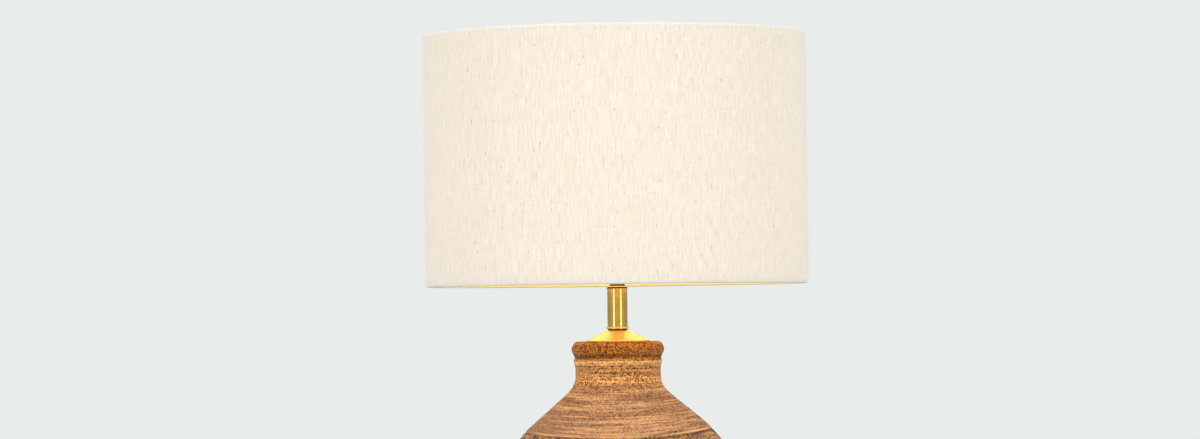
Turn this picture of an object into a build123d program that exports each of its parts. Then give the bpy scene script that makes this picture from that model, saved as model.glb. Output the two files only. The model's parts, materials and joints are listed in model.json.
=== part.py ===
from build123d import *
import os
from math import acos, atan2, cos, hypot, pi, radians, sin, sqrt

# Ceramic table lamp: a thrown stoneware vessel, a brass cap and neck, a lampholder with a push
# switch, a bulb, and a linen drum shade on a three-armed fitter.
# Millimetres, +Z up. The origin is on the table under the middle of the foot; +Y is the back.

# Clearances
slip = 0.2                      # washers and sleeves over the rod, spigots in a tube
thread_gap = 0.05               # mating threads, drawn as plain cylinders
turn_gap = 0.3                  # pieces that turn or slide past each other

# Cork pad and turned foot
pad_thickness = 3.0
pad_inset = 2.0                 # pad's edges inside the foot ring's edges
foot_radius = 72.0
foot_wall = 14.0
foot_height = 18.0
foot_shoulder = 2.0             # ledge where the belly meets the foot
foot_chamfer = 1.2
recess_depth = 16.0             # hollow inside the foot ring
floor_thickness = 9.0

# Stoneware vessel; drops are measured down from the top of the lip
vessel_height = 307.0
vessel_wall = 7.0
mouth_radius = 24.0
lip_thickness = 9.0
lip_flat_radius = 42.6
lip_radius = 48.4
lip_bulge_drop = 7.8
groove_radius = 45.3
groove_drop = 16.2
bead_radius = 46.2
bead_drop = 20.8
neck_radius = 44.6
neck_drop = 28.7
shoulder_drop = 45.7            # where the neck's and the shoulder's lines would cross
shoulder_fillet = 24.0
ridge_radius = 97.7
ridge_drop = 93.4
ridge_height = 1.8
ridge_undercut = 0.3
belly_radius = 132.0
belly_drop = 178.0
ring_drop = 226.0               # raised ring that ends the rough band
ring_bead = 2.2

# Cord inlet at the back of the foot
inlet_rise = 8.5                # above the foot's underside
inlet_bore_radius = 3.6
grommet_wall = 1.6
grommet_flange_lap = 1.6
grommet_flange_thickness = 1.8
grommet_barb_lap = 0.9
grommet_barb_length = 2.0
spot_face_depth = 0.6

# Rod and its fixings
rod_radius = 5.0
rod_bore_radius = 3.7
rod_end = 2.0                   # past the nut
rod_in_cap = 1.5                # rod's end inside the lampholder's cap
clamp_radius = 30.0
clamp_thickness = 2.0
lock_washer_width = 3.6
lock_washer_thickness = 2.0
lock_washer_slit = 1.0
nut_across_flats = 16.0
nut_height = 6.0
plug_depth = 12.0
plug_lap = 2.0
plug_flange_thickness = 1.2

# Brass cap and neck
cap_lap = 9.0                   # edge of the cap beyond the mouth
cap_height = 11.4
cap_land_radius = 12.4
cap_rim = 0.7
cap_wall = 1.1
lower_gasket_radius = 10.2
lower_gasket_thickness = 1.3
ferrule_lap = 1.3               # beyond the tube
ferrule_height = 2.2
ferrule_round = 0.8
neck_tube_radius = 10.5
neck_tube_wall = 1.0
neck_tube_length = 40.4
spigot_height = 4.0
upper_gasket_lap = 0.4
upper_gasket_thickness = 1.1
collar_height = 1.6
collar_round = 0.7

# Lampholder
boss_radius = 8.0
boss_height = 6.0
holder_radius = 18.5
holder_cap_wall = 3.5
holder_cap_skirt = 11.0
holder_wall = 2.2
holder_body_height = 10.0
holder_flange_lap = 7.5
holder_flange_thickness = 2.5
holder_skirt_radius = 19.6
holder_skirt_height = 22.0
holder_ledge = 1.0              # thickness over the contact block
grub_screw_radius = 1.25
grub_screw_sink = 0.4

# Push switch
bar_width = 6.4
bar_height = 4.4
bar_shoulder = 1.2              # stop under the middle of the bar
bar_round = 0.8
bar_reach = 6.5                 # of the end that stands out
bar_rise = 4.0                  # middle of the bar above the dome
switch_travel = 5.0
notch_depth = 0.7
blade_width = 4.0
blade_thickness = 0.5
blade_foot = 6.0
blade_lean = 2.8

# Contacts in the socket
shell_radius = 13.4             # inside of the screw shell
shell_wall = 0.7
shell_height = 24.0
shell_hole_radius = 7.0
contact_length = 10.0
contact_width = 5.0
contact_thickness = 0.5
contact_lift = 2.5
terminal_spacing = 18.0
terminal_radius = 1.8
terminal_height = 2.4
terminal_slot = 0.7

# Bulb
bulb_tip_radius = 5.0
bulb_tip_height = 1.2
insulator_height = 3.0
insulator_low_radius = 6.2
insulator_top_radius = 11.4
bulb_cap_gap = 0.4              # inside the screw shell
bulb_cap_height = 23.0
bulb_cap_taper = 1.6
bulb_cap_wall = 0.6
bulb_radius = 30.0
bulb_centre_rise = 47.0         # centre of the round part above the bulb's cap
bulb_neck_height = 3.0
bulb_neck_fillet = 8.0
bulb_glass_wall = 1.0
bulb_glass_seat = 4.0           # neck inside the cap
stem_radius = 4.0
stem_height = 26.0
stem_flange = 1.2
post_radius = 1.2
filament_count = 4
filament_radius = 0.9
filament_length = 30.0
filament_spread = 4.0           # how far the tops lean out
filament_lap = 4.0              # foot of a filament beside the stem
link_radius = 0.5

# Drum shade
shade_diameter = 400.0
shade_height = 263.0
fabric = 0.8
liner = 0.5
ring_wire = 4.0
hem_gap = 0.5
hem_tuck = 6.0
fitter_recess = 39.7            # fitter ring above the shade's lower edge
fitter_gap = 0.6
fitter_thickness = 1.5
fitter_collar_gap = 0.6
fitter_collar_wall = 1.5
fitter_collar_height = 5.0
arm_count = 3
first_arm_heading = 90.0        # one arm points to the back
arm_wire = 3.5
arm_level_run = 17.0
arm_bend = 20.0

# Ring that holds the shade
shade_ring_height = 9.0
shade_ring_wall = 3.6
shade_ring_flange_lap = 1.9
shade_ring_flange = 2.0
grip_count = 24
grip_radius = 0.9

# Heights up the stack
foot_z = pad_thickness
floor_under_z = foot_z + recess_depth
floor_top_z = floor_under_z + floor_thickness
foot_top_z = foot_z + foot_height
clamp_z = floor_under_z - clamp_thickness
lock_washer_z = clamp_z - lock_washer_thickness
nut_z = lock_washer_z - nut_height
rod_z = nut_z - rod_end
lip_z = foot_z + vessel_height
belly_z = lip_z - belly_drop
ring_z = lip_z - ring_drop
inlet_z = foot_z + inlet_rise
cap_top_z = lip_z + cap_height
ferrule_z = cap_top_z + lower_gasket_thickness
tube_z = ferrule_z + ferrule_height
tube_top_z = tube_z + neck_tube_length
collar_z = tube_top_z + upper_gasket_thickness
holder_z = collar_z + collar_height
boss_top_z = holder_z + boss_height
dome_top_z = boss_top_z + holder_radius - boss_radius
bar_z = dome_top_z + bar_rise
holder_joint_z = dome_top_z + holder_cap_skirt
flange_z = holder_joint_z + holder_body_height
block_top_z = flange_z - holder_ledge
fitter_z = flange_z + holder_flange_thickness
skirt_top_z = fitter_z + holder_skirt_height
shade_ring_z = fitter_z + fitter_thickness
shade_z = fitter_z - fitter_recess
shade_top_z = shade_z + shade_height
bulb_z = block_top_z + contact_lift + turn_gap
insulator_z = bulb_z + bulb_tip_height
bulb_cap_z = insulator_z + insulator_height
bulb_cap_top_z = bulb_cap_z + bulb_cap_height
bulb_neck_z = bulb_cap_top_z - bulb_glass_seat
bulb_centre_z = bulb_cap_top_z + bulb_centre_rise
stem_top_z = bulb_neck_z + stem_flange + stem_height

# Radii that follow from others
foot_inner_radius = foot_radius - foot_wall
rod_passage = rod_radius + slip
thread_passage = rod_radius + thread_gap
cap_radius = mouth_radius + cap_lap
spigot_radius = neck_tube_radius - neck_tube_wall - slip
holder_cap_inside = holder_radius - holder_cap_wall
block_bore = holder_radius - holder_wall
shell_passage = shell_radius + shell_wall + slip
bulb_cap_radius = shell_radius - bulb_cap_gap
bulb_neck_radius = bulb_cap_radius - bulb_cap_wall - slip
shade_radius = shade_diameter / 2
hem_inner = (ring_wire + liner) / 2 + hem_gap
hem_outer = hem_inner + fabric
wire_ring_radius = shade_radius - fabric - liner - hem_gap - ring_wire / 2
shade_ring_inside = holder_skirt_radius + turn_gap
shade_ring_radius = shade_ring_inside + shade_ring_wall
shade_ring_flange_radius = shade_ring_radius + shade_ring_flange_lap
fitter_collar_inside = shade_ring_flange_radius + fitter_collar_gap
fitter_radius = fitter_collar_inside + fitter_collar_wall


# Arcs of the vessel's belly, both upright at its widest point


def upright_arc_radius(reach, rise):
    """Radius of an arc that starts upright and ends reach inward and rise further along."""
    return (reach**2 + rise**2) / (2 * reach)


def lower_belly_radius(z, inset=0.0):
    """Radius of the belly's lower arc at height z, inset from the outside."""
    return belly_radius - lower_arc + sqrt((lower_arc - inset) ** 2 - (belly_z - z) ** 2)


band_start = (ridge_radius - ridge_undercut, lip_z - ridge_drop - ridge_height)
foot_start = (foot_radius + foot_shoulder, foot_top_z)
upper_arc = upright_arc_radius(belly_radius - band_start[0], band_start[1] - belly_z)
lower_arc = upright_arc_radius(belly_radius - foot_start[0], belly_z - foot_start[1])
upper_centre = belly_radius - upper_arc
band_angle = atan2(band_start[1] - belly_z, band_start[0] - upper_centre)
band_inside = (
    upper_centre + (upper_arc - vessel_wall) * cos(band_angle),
    belly_z + (upper_arc - vessel_wall) * sin(band_angle),
)

# Inside of the neck meets the inside of the shoulder one wall in from both lines
shoulder_angle = atan2(ridge_drop - shoulder_drop, ridge_radius - neck_radius)
neck_inside_radius = neck_radius - vessel_wall
neck_inside_z = lip_z - shoulder_drop - vessel_wall * (1 - sin(shoulder_angle)) / cos(shoulder_angle)

# The inlet runs out through the back of the foot ring, with a flat ground for the flange
inlet_plane = Plane(origin=(0, 0, inlet_z), x_dir=(1, 0, 0), z_dir=(0, 1, 0))
inlet_axis = Axis((0, 0, inlet_z), (0, 1, 0))
grommet_radius = inlet_bore_radius + grommet_wall
grommet_flange_radius = grommet_radius + grommet_flange_lap
barb_radius = grommet_radius + grommet_barb_lap
spot_face_y = foot_radius - spot_face_depth
barb_y = sqrt(foot_inner_radius**2 - barb_radius**2)

with BuildPart() as cork_pad:
    with BuildSketch():
        Circle(foot_radius - pad_inset)
        Circle(foot_inner_radius + pad_inset, mode=Mode.SUBTRACT)
    extrude(amount=pad_thickness)

with BuildPart() as ceramic_body:
    with BuildSketch(Plane.XZ):
        with BuildLine():
            top = Line((0, lip_z), (lip_flat_radius, lip_z))
            lip = Spline(
                top @ 1,
                (lip_radius, lip_z - lip_bulge_drop),
                (groove_radius, lip_z - groove_drop),
                (bead_radius, lip_z - bead_drop),
                (neck_radius, lip_z - neck_drop),
                tangents=((1, 0), (0, -1)),
            )
            shoulder = FilletPolyline(
                lip @ 1,
                (neck_radius, lip_z - shoulder_drop),
                (ridge_radius, lip_z - ridge_drop),
                radius=shoulder_fillet,
            )
            Line(shoulder @ 1, band_start)
            TangentArc((belly_radius, belly_z), band_start, tangent=(0, 1))
            belly = TangentArc((belly_radius, belly_z), foot_start, tangent=(0, -1))
            Polyline(
                belly @ 1, (foot_radius, foot_top_z), (foot_radius, foot_z), (0, foot_z), top @ 0
            )
        make_face()
    revolve(axis=Axis.Z)
    with BuildSketch(Plane.XZ):
        with Locations((lower_belly_radius(ring_z), ring_z)):
            Circle(ring_bead)
    revolve(axis=Axis.Z)
    with BuildSketch(Plane.XZ):
        with BuildLine():
            throat = Polyline(
                (0, lip_z),
                (mouth_radius, lip_z),
                (mouth_radius, lip_z - lip_thickness),
                (neck_inside_radius, lip_z - lip_thickness),
                (neck_inside_radius, neck_inside_z),
                band_inside,
            )
            waist = (belly_radius - vessel_wall, belly_z)
            TangentArc(waist, band_inside, tangent=(0, 1))
            inside = TangentArc(
                waist,
                (lower_belly_radius(floor_top_z, vessel_wall), floor_top_z),
                tangent=(0, -1),
            )
            Polyline(inside @ 1, (0, floor_top_z), throat @ 0)
        make_face()
    revolve(axis=Axis.Z, mode=Mode.SUBTRACT)
    with BuildSketch(Plane.XY.offset(foot_z)):
        Circle(foot_inner_radius)
    extrude(amount=recess_depth, mode=Mode.SUBTRACT)
    with BuildSketch(Plane.XY.offset(floor_under_z)):
        Circle(rod_passage)
    extrude(amount=floor_thickness, mode=Mode.SUBTRACT)
    foot_edges = ceramic_body.edges().filter_by(GeomType.CIRCLE).group_by(Axis.Z)[0]
    chamfer(foot_edges, length=foot_chamfer)
    with BuildSketch(inlet_plane):
        Circle(grommet_radius + slip)
    extrude(amount=foot_radius, mode=Mode.SUBTRACT)
    with BuildSketch(inlet_plane.offset(spot_face_y)):
        Circle(grommet_flange_radius + slip)
    extrude(amount=grommet_flange_thickness, mode=Mode.SUBTRACT)

with BuildPart() as cord_grommet:
    with BuildSketch(Plane.YZ):
        with BuildLine():
            Polyline(
                (barb_y - grommet_barb_length, inlet_z + inlet_bore_radius),
                (barb_y - grommet_barb_length, inlet_z + grommet_radius),
                (barb_y, inlet_z + barb_radius),
                (barb_y, inlet_z + grommet_radius),
                (spot_face_y, inlet_z + grommet_radius),
                (spot_face_y, inlet_z + grommet_flange_radius),
                (spot_face_y + grommet_flange_thickness, inlet_z + grommet_flange_radius),
                (spot_face_y + grommet_flange_thickness, inlet_z + inlet_bore_radius),
                close=True,
            )
        make_face()
    revolve(axis=inlet_axis)
    flange_edge = cord_grommet.edges().group_by(Axis.Y)[-1].sort_by(SortBy.RADIUS)[-1]
    fillet(flange_edge, radius=grommet_flange_thickness / 2)

with BuildPart() as clamp_plate:
    with BuildSketch(Plane.XY.offset(clamp_z)):
        Circle(clamp_radius)
        Circle(rod_passage, mode=Mode.SUBTRACT)
    extrude(amount=clamp_thickness)

with BuildPart() as lock_washer:
    with BuildSketch(Plane.XY.offset(lock_washer_z)):
        Circle(rod_passage + lock_washer_width)
        Circle(rod_passage, mode=Mode.SUBTRACT)
        with Locations((rod_passage + lock_washer_width / 2, 0)):
            Rectangle(lock_washer_width * 2, lock_washer_slit, mode=Mode.SUBTRACT)
    extrude(amount=lock_washer_thickness)

with BuildPart() as rod_nut:
    with BuildSketch(Plane.XY.offset(nut_z)):
        RegularPolygon(nut_across_flats / 2, 6, major_radius=False)
        Circle(thread_passage, mode=Mode.SUBTRACT)
    extrude(amount=nut_height)

with BuildPart() as threaded_rod:
    with BuildSketch(Plane.XY.offset(rod_z)):
        Circle(rod_radius)
        Circle(rod_bore_radius, mode=Mode.SUBTRACT)
    extrude(amount=boss_top_z + holder_cap_wall + rod_in_cap - rod_z)

with BuildPart() as mouth_plug:
    with BuildSketch(Plane.XY.offset(lip_z - plug_depth)):
        Circle(mouth_radius - slip)
    extrude(amount=plug_depth)
    with BuildSketch(Plane.XY.offset(lip_z)):
        Circle(mouth_radius + plug_lap)
    extrude(amount=plug_flange_thickness)
    with BuildSketch(Plane.XY.offset(lip_z - plug_depth)):
        Circle(rod_passage)
    extrude(amount=plug_depth + plug_flange_thickness, mode=Mode.SUBTRACT)

# The spun cap is its outer cone less the same cone one wall lower
with BuildPart() as vase_cap:
    for drop, mode in ((0.0, Mode.ADD), (cap_wall, Mode.SUBTRACT)):
        with BuildSketch(Plane.XZ):
            with BuildLine():
                Polyline(
                    (0, lip_z - drop),
                    (cap_radius, lip_z - drop),
                    (cap_radius, lip_z + cap_rim - drop),
                    (cap_land_radius, cap_top_z - drop),
                    (0, cap_top_z - drop),
                    close=True,
                )
            make_face()
        revolve(axis=Axis.Z, mode=mode)
    with BuildSketch(Plane.XY.offset(lip_z)):
        Circle(rod_passage)
    extrude(amount=cap_height, mode=Mode.SUBTRACT)

with BuildPart() as lower_gasket:
    with BuildSketch(Plane.XY.offset(cap_top_z)):
        Circle(lower_gasket_radius)
        Circle(rod_passage, mode=Mode.SUBTRACT)
    extrude(amount=lower_gasket_thickness)

with BuildPart() as tube_ferrule:
    with BuildSketch(Plane.XY.offset(ferrule_z)):
        Circle(neck_tube_radius + ferrule_lap)
    extrude(amount=ferrule_height)
    fillet(tube_ferrule.edges(), radius=ferrule_round)
    with BuildSketch(Plane.XY.offset(tube_z)):
        Circle(spigot_radius)
    extrude(amount=spigot_height)
    with BuildSketch(Plane.XY.offset(ferrule_z)):
        Circle(rod_passage)
    extrude(amount=ferrule_height + spigot_height, mode=Mode.SUBTRACT)

with BuildPart() as neck_tube:
    with BuildSketch(Plane.XY.offset(tube_z)):
        Circle(neck_tube_radius)
        Circle(neck_tube_radius - neck_tube_wall, mode=Mode.SUBTRACT)
    extrude(amount=neck_tube_length)

with BuildPart() as upper_gasket:
    with BuildSketch(Plane.XY.offset(tube_top_z)):
        Circle(neck_tube_radius + upper_gasket_lap)
        Circle(spigot_radius + slip, mode=Mode.SUBTRACT)
    extrude(amount=upper_gasket_thickness)

with BuildPart() as neck_collar:
    with BuildSketch(Plane.XY.offset(collar_z)):
        Circle(neck_tube_radius)
    extrude(amount=collar_height)
    fillet(neck_collar.edges(), radius=collar_round)
    with BuildSketch(Plane.XY.offset(tube_top_z - spigot_height)):
        Circle(spigot_radius)
    extrude(amount=spigot_height + upper_gasket_thickness)
    with BuildSketch(Plane.XY.offset(tube_top_z - spigot_height)):
        Circle(rod_passage)
    extrude(amount=spigot_height + upper_gasket_thickness + collar_height, mode=Mode.SUBTRACT)

with BuildPart() as holder_cap:
    with BuildSketch(Plane.XZ):
        with BuildLine():
            dome_inside = holder_cap_inside - boss_radius
            outside = Polyline(
                (thread_passage, holder_z), (boss_radius, holder_z), (boss_radius, boss_top_z)
            )
            dome = TangentArc(outside @ 1, (holder_radius, dome_top_z), tangent=(1, 0))
            rim = Polyline(
                dome @ 1,
                (holder_radius, holder_joint_z),
                (holder_cap_inside, holder_joint_z),
                (holder_cap_inside, dome_top_z),
            )
            crown = TangentArc(
                (boss_radius, dome_top_z - dome_inside), rim @ 1, tangent=(1, 0)
            )
            Polyline(crown @ 0, (thread_passage, dome_top_z - dome_inside), outside @ 0)
        make_face()
    revolve(axis=Axis.Z)
    with BuildSketch(Plane.YZ):
        with Locations((0, bar_z)):
            Rectangle(bar_width + 2 * turn_gap, bar_height + 2 * turn_gap)
    extrude(amount=holder_radius, both=True, mode=Mode.SUBTRACT)
    with BuildSketch(Plane.XZ.offset(-boss_radius)):
        with Locations((0, holder_z + boss_height / 2)):
            Circle(grub_screw_radius + thread_gap)
    extrude(amount=boss_radius, mode=Mode.SUBTRACT)

with BuildPart() as holder_grub_screw:
    with BuildSketch(Plane.XZ.offset(grub_screw_sink - boss_radius)):
        with Locations((0, holder_z + boss_height / 2)):
            Circle(grub_screw_radius)
    extrude(amount=boss_radius - grub_screw_sink - thread_passage)

with BuildPart() as holder_body:
    with BuildSketch(Plane.XZ):
        with BuildLine():
            Polyline(
                (block_bore, holder_joint_z),
                (holder_radius, holder_joint_z),
                (holder_radius, flange_z),
                (holder_radius + holder_flange_lap, flange_z),
                (holder_radius + holder_flange_lap, fitter_z),
                (holder_skirt_radius, fitter_z),
                (holder_skirt_radius, skirt_top_z),
                (shell_passage, skirt_top_z),
                (shell_passage, block_top_z),
                (block_bore, block_top_z),
                close=True,
            )
        make_face()
    revolve(axis=Axis.Z)

with BuildPart() as contact_block:
    with BuildSketch(Plane.XY.offset(holder_joint_z)):
        Circle(block_bore - slip)
    extrude(amount=block_top_z - holder_joint_z)

with BuildPart() as screw_shell:
    with BuildSketch(Plane.XY.offset(block_top_z)):
        Circle(shell_radius + shell_wall)
        Circle(shell_hole_radius, mode=Mode.SUBTRACT)
    extrude(amount=shell_height)
    with BuildSketch(Plane.XY.offset(block_top_z + shell_wall)):
        Circle(shell_radius)
    extrude(amount=shell_height - shell_wall, mode=Mode.SUBTRACT)

with BuildPart() as centre_contact:
    with BuildSketch(Plane.XZ):
        with BuildLine():
            half = contact_length / 2
            Polyline(
                (-half, block_top_z),
                (0, block_top_z),
                (half, block_top_z + contact_lift - contact_thickness),
                (half, block_top_z + contact_lift),
                (0, block_top_z + contact_thickness),
                (-half, block_top_z + contact_thickness),
                close=True,
            )
        make_face()
    extrude(amount=contact_width / 2, both=True)

with BuildPart() as terminal_screws:
    with BuildSketch(Plane.XY.offset(holder_joint_z - terminal_height)):
        with GridLocations(0, terminal_spacing, 1, 2):
            Circle(terminal_radius)
    extrude(amount=terminal_height)
    with BuildSketch(Plane.XY.offset(holder_joint_z - terminal_height)):
        with GridLocations(0, terminal_spacing, 1, 2):
            Rectangle(terminal_radius * 2, terminal_slot)
    extrude(amount=terminal_height / 2, mode=Mode.SUBTRACT)

# The switch bar is free to slide between the stops of its thicker middle
bar_top_z = bar_z + bar_height / 2
bar_end = holder_radius + bar_reach
stop_x = sqrt(holder_cap_inside**2 - (bar_width / 2) ** 2) - turn_gap

with BuildPart() as switch_bar:
    with BuildSketch(Plane.YZ.offset(switch_travel - bar_end)):
        with Locations((0, bar_z)):
            RectangleRounded(bar_width, bar_height, bar_round)
    extrude(amount=2 * bar_end - switch_travel)
    with BuildSketch(Plane.YZ.offset(switch_travel - stop_x)):
        with Locations((0, bar_z - bar_shoulder / 2)):
            Rectangle(bar_width, bar_height + bar_shoulder)
    extrude(amount=2 * stop_x - switch_travel)
    with BuildSketch(Plane.XZ):
        with Locations((0, bar_top_z), (switch_travel, bar_top_z)):
            Circle(notch_depth)
    extrude(amount=bar_width, both=True, mode=Mode.SUBTRACT)

with BuildPart() as switch_blade:
    with BuildSketch(Plane.XZ):
        with BuildLine():
            Polyline(
                (0, bar_top_z + turn_gap),
                (blade_thickness, bar_top_z + turn_gap),
                (blade_lean + blade_thickness, holder_joint_z - blade_thickness),
                (blade_lean + blade_foot, holder_joint_z - blade_thickness),
                (blade_lean + blade_foot, holder_joint_z),
                (blade_lean, holder_joint_z),
                close=True,
            )
        make_face()
    extrude(amount=blade_width / 2, both=True)

with BuildPart() as shade_ring:
    with BuildSketch(Plane.XZ):
        with BuildLine():
            Polyline(
                (shade_ring_inside, shade_ring_z),
                (shade_ring_flange_radius, shade_ring_z),
                (shade_ring_flange_radius, shade_ring_z + shade_ring_flange),
                (shade_ring_radius, shade_ring_z + shade_ring_flange),
                (shade_ring_radius, shade_ring_z + shade_ring_height),
                (shade_ring_inside, shade_ring_z + shade_ring_height),
                close=True,
            )
        make_face()
    revolve(axis=Axis.Z)
    with BuildSketch(Plane.XY.offset(shade_ring_z + shade_ring_flange)):
        with PolarLocations(shade_ring_radius, grip_count):
            Circle(grip_radius)
    extrude(amount=shade_ring_height, mode=Mode.SUBTRACT)

with BuildPart() as bulb_contact:
    with BuildSketch(Plane.XY.offset(bulb_z)):
        Circle(bulb_tip_radius)
    extrude(amount=bulb_tip_height)
    fillet(bulb_contact.edges().sort_by(Axis.Z)[0], radius=bulb_tip_height / 2)

with BuildPart() as bulb_insulator:
    with BuildSketch(Plane.XZ):
        with BuildLine():
            Polyline(
                (0, insulator_z),
                (insulator_low_radius, insulator_z),
                (insulator_top_radius, bulb_cap_z),
                (0, bulb_cap_z),
                close=True,
            )
        make_face()
    revolve(axis=Axis.Z)

with BuildPart() as bulb_cap:
    with BuildSketch(Plane.XZ):
        with BuildLine():
            Polyline(
                (insulator_top_radius - bulb_cap_wall, bulb_cap_z),
                (insulator_top_radius, bulb_cap_z),
                (bulb_cap_radius, bulb_cap_z + bulb_cap_taper),
                (bulb_cap_radius, bulb_cap_top_z),
                (bulb_cap_radius - bulb_cap_wall, bulb_cap_top_z),
                (bulb_cap_radius - bulb_cap_wall, bulb_cap_z + bulb_cap_taper),
                close=True,
            )
        make_face()
    revolve(axis=Axis.Z)

# The glass is the outer bulb less an inner one, each with its flare tangent to its round part
with BuildPart() as bulb_glass:
    for inset, mode in ((0.0, Mode.ADD), (bulb_glass_wall, Mode.SUBTRACT)):
        neck_radius_here = bulb_neck_radius - inset
        round_radius = bulb_radius - inset
        flare_z = bulb_cap_top_z + bulb_neck_height
        flare_below = bulb_centre_z - flare_z
        tangent_angle = atan2(-flare_below, neck_radius_here) + acos(
            round_radius / hypot(neck_radius_here, flare_below)
        )
        tangent_point = (
            round_radius * cos(tangent_angle),
            bulb_centre_z + round_radius * sin(tangent_angle),
        )
        with BuildSketch(Plane.XZ):
            with BuildLine():
                flare = FilletPolyline(
                    (neck_radius_here, bulb_neck_z),
                    (neck_radius_here, flare_z),
                    tangent_point,
                    radius=bulb_neck_fillet,
                )
                crown = TangentArc(flare @ 1, (0, bulb_centre_z + round_radius), tangent=flare % 1)
                Polyline(crown @ 1, (0, bulb_neck_z), flare @ 0)
            make_face()
        revolve(axis=Axis.Z, mode=mode)

filament_foot_z = stem_top_z - filament_lap
filament_foot_radius = stem_radius + filament_radius + thread_gap
filament_lean = Vector(filament_spread, 0, sqrt(filament_length**2 - filament_spread**2))
link_z = filament_foot_z + filament_lean.Z - filament_radius

with BuildPart() as bulb_stem:
    with BuildSketch(Plane.XY.offset(bulb_neck_z)):
        Circle(bulb_neck_radius - bulb_glass_wall - slip)
    extrude(amount=stem_flange)
    with BuildSketch(Plane.XY.offset(bulb_neck_z + stem_flange)):
        Circle(stem_radius)
    extrude(amount=stem_height)
    with BuildSketch(Plane.XY.offset(stem_top_z)):
        Circle(post_radius)
    extrude(amount=link_z + link_radius - stem_top_z)

with BuildPart() as bulb_filaments:
    for turn in range(filament_count):
        heading = 2 * pi * turn / filament_count
        outward = Vector(cos(heading), sin(heading), 0)
        foot = outward * filament_foot_radius + Vector(0, 0, filament_foot_z)
        lean = outward * filament_lean.X + Vector(0, 0, filament_lean.Z)
        with BuildSketch(Plane(origin=foot, z_dir=lean)):
            Circle(filament_radius)
        extrude(amount=filament_length)
        link_foot = outward * (post_radius + thread_gap) + Vector(0, 0, link_z)
        with BuildSketch(Plane(origin=link_foot, z_dir=outward)):
            Circle(link_radius)
        extrude(amount=filament_foot_radius + filament_spread - post_radius - filament_radius / 2)

with BuildPart() as shade_fitter:
    with BuildSketch(Plane.XZ):
        with BuildLine():
            Polyline(
                (holder_skirt_radius + fitter_gap, fitter_z),
                (fitter_radius, fitter_z),
                (fitter_radius, fitter_z + fitter_collar_height),
                (fitter_collar_inside, fitter_z + fitter_collar_height),
                (fitter_collar_inside, fitter_z + fitter_thickness),
                (holder_skirt_radius + fitter_gap, fitter_z + fitter_thickness),
                close=True,
            )
        make_face()
    revolve(axis=Axis.Z)

lower_ring_z = shade_z + hem_outer
upper_ring_z = shade_top_z - hem_outer

with BuildPart() as shade_bottom_ring:
    with BuildSketch(Plane.XZ):
        with Locations((wire_ring_radius, lower_ring_z)):
            Circle(ring_wire / 2)
    revolve(axis=Axis.Z)

with BuildPart() as shade_top_ring:
    with BuildSketch(Plane.XZ):
        with Locations((wire_ring_radius, upper_ring_z)):
            Circle(ring_wire / 2)
    revolve(axis=Axis.Z)

# Each arm is a bent wire, coped to the fitter's collar and to the lower ring
arm_z = fitter_z + fitter_collar_height / 2
arm_start = (fitter_radius - fitter_collar_wall / 2, arm_z)

with BuildPart() as one_arm:
    with BuildLine(Plane.XZ) as arm_path:
        FilletPolyline(
            arm_start,
            (fitter_radius + arm_level_run, arm_z),
            (wire_ring_radius - arm_level_run, lower_ring_z),
            (wire_ring_radius, lower_ring_z),
            radius=arm_bend,
        )
    with BuildSketch(Plane(origin=(arm_start[0], 0, arm_z), z_dir=(1, 0, 0))):
        Circle(arm_wire / 2)
    sweep(path=arm_path.line)
    add(shade_fitter.part, mode=Mode.SUBTRACT)
    add(shade_bottom_ring.part, mode=Mode.SUBTRACT)

with BuildPart() as shade_arms:
    with PolarLocations(0, arm_count, start_angle=first_arm_heading):
        add(one_arm.part)

with BuildPart() as shade_liner:
    with BuildSketch(Plane.XY.offset(lower_ring_z)):
        Circle(shade_radius - fabric)
        Circle(shade_radius - fabric - liner, mode=Mode.SUBTRACT)
    extrude(amount=upper_ring_z - lower_ring_z)

# The cloth is one wall whose two hems roll in over the rings and tuck behind them
with BuildPart() as shade_fabric:
    with BuildSketch(Plane.XZ):
        with Locations((shade_radius - hem_outer, (shade_z + shade_top_z) / 2)):
            SlotOverall(shade_height, 2 * hem_outer, rotation=90)
            SlotOverall(shade_height - 2 * fabric, 2 * hem_inner, rotation=90, mode=Mode.SUBTRACT)
        with Locations((shade_radius - 2 * hem_outer, (shade_z + shade_top_z) / 2)):
            Rectangle(
                2 * hem_outer, shade_height - 2 * (hem_outer + hem_tuck), mode=Mode.SUBTRACT
            )
    revolve(axis=Axis.Z)
    for turn in range(arm_count):
        heading = radians(first_arm_heading + 360 / arm_count * turn)
        outward = Vector(cos(heading), sin(heading), 0)
        hole_start = outward * (shade_radius - 2 * hem_outer - slip) + Vector(0, 0, lower_ring_z)
        with BuildSketch(Plane(origin=hole_start, z_dir=outward)):
            Circle(arm_wire / 2 + slip)
        extrude(amount=hem_outer, mode=Mode.SUBTRACT)

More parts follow.
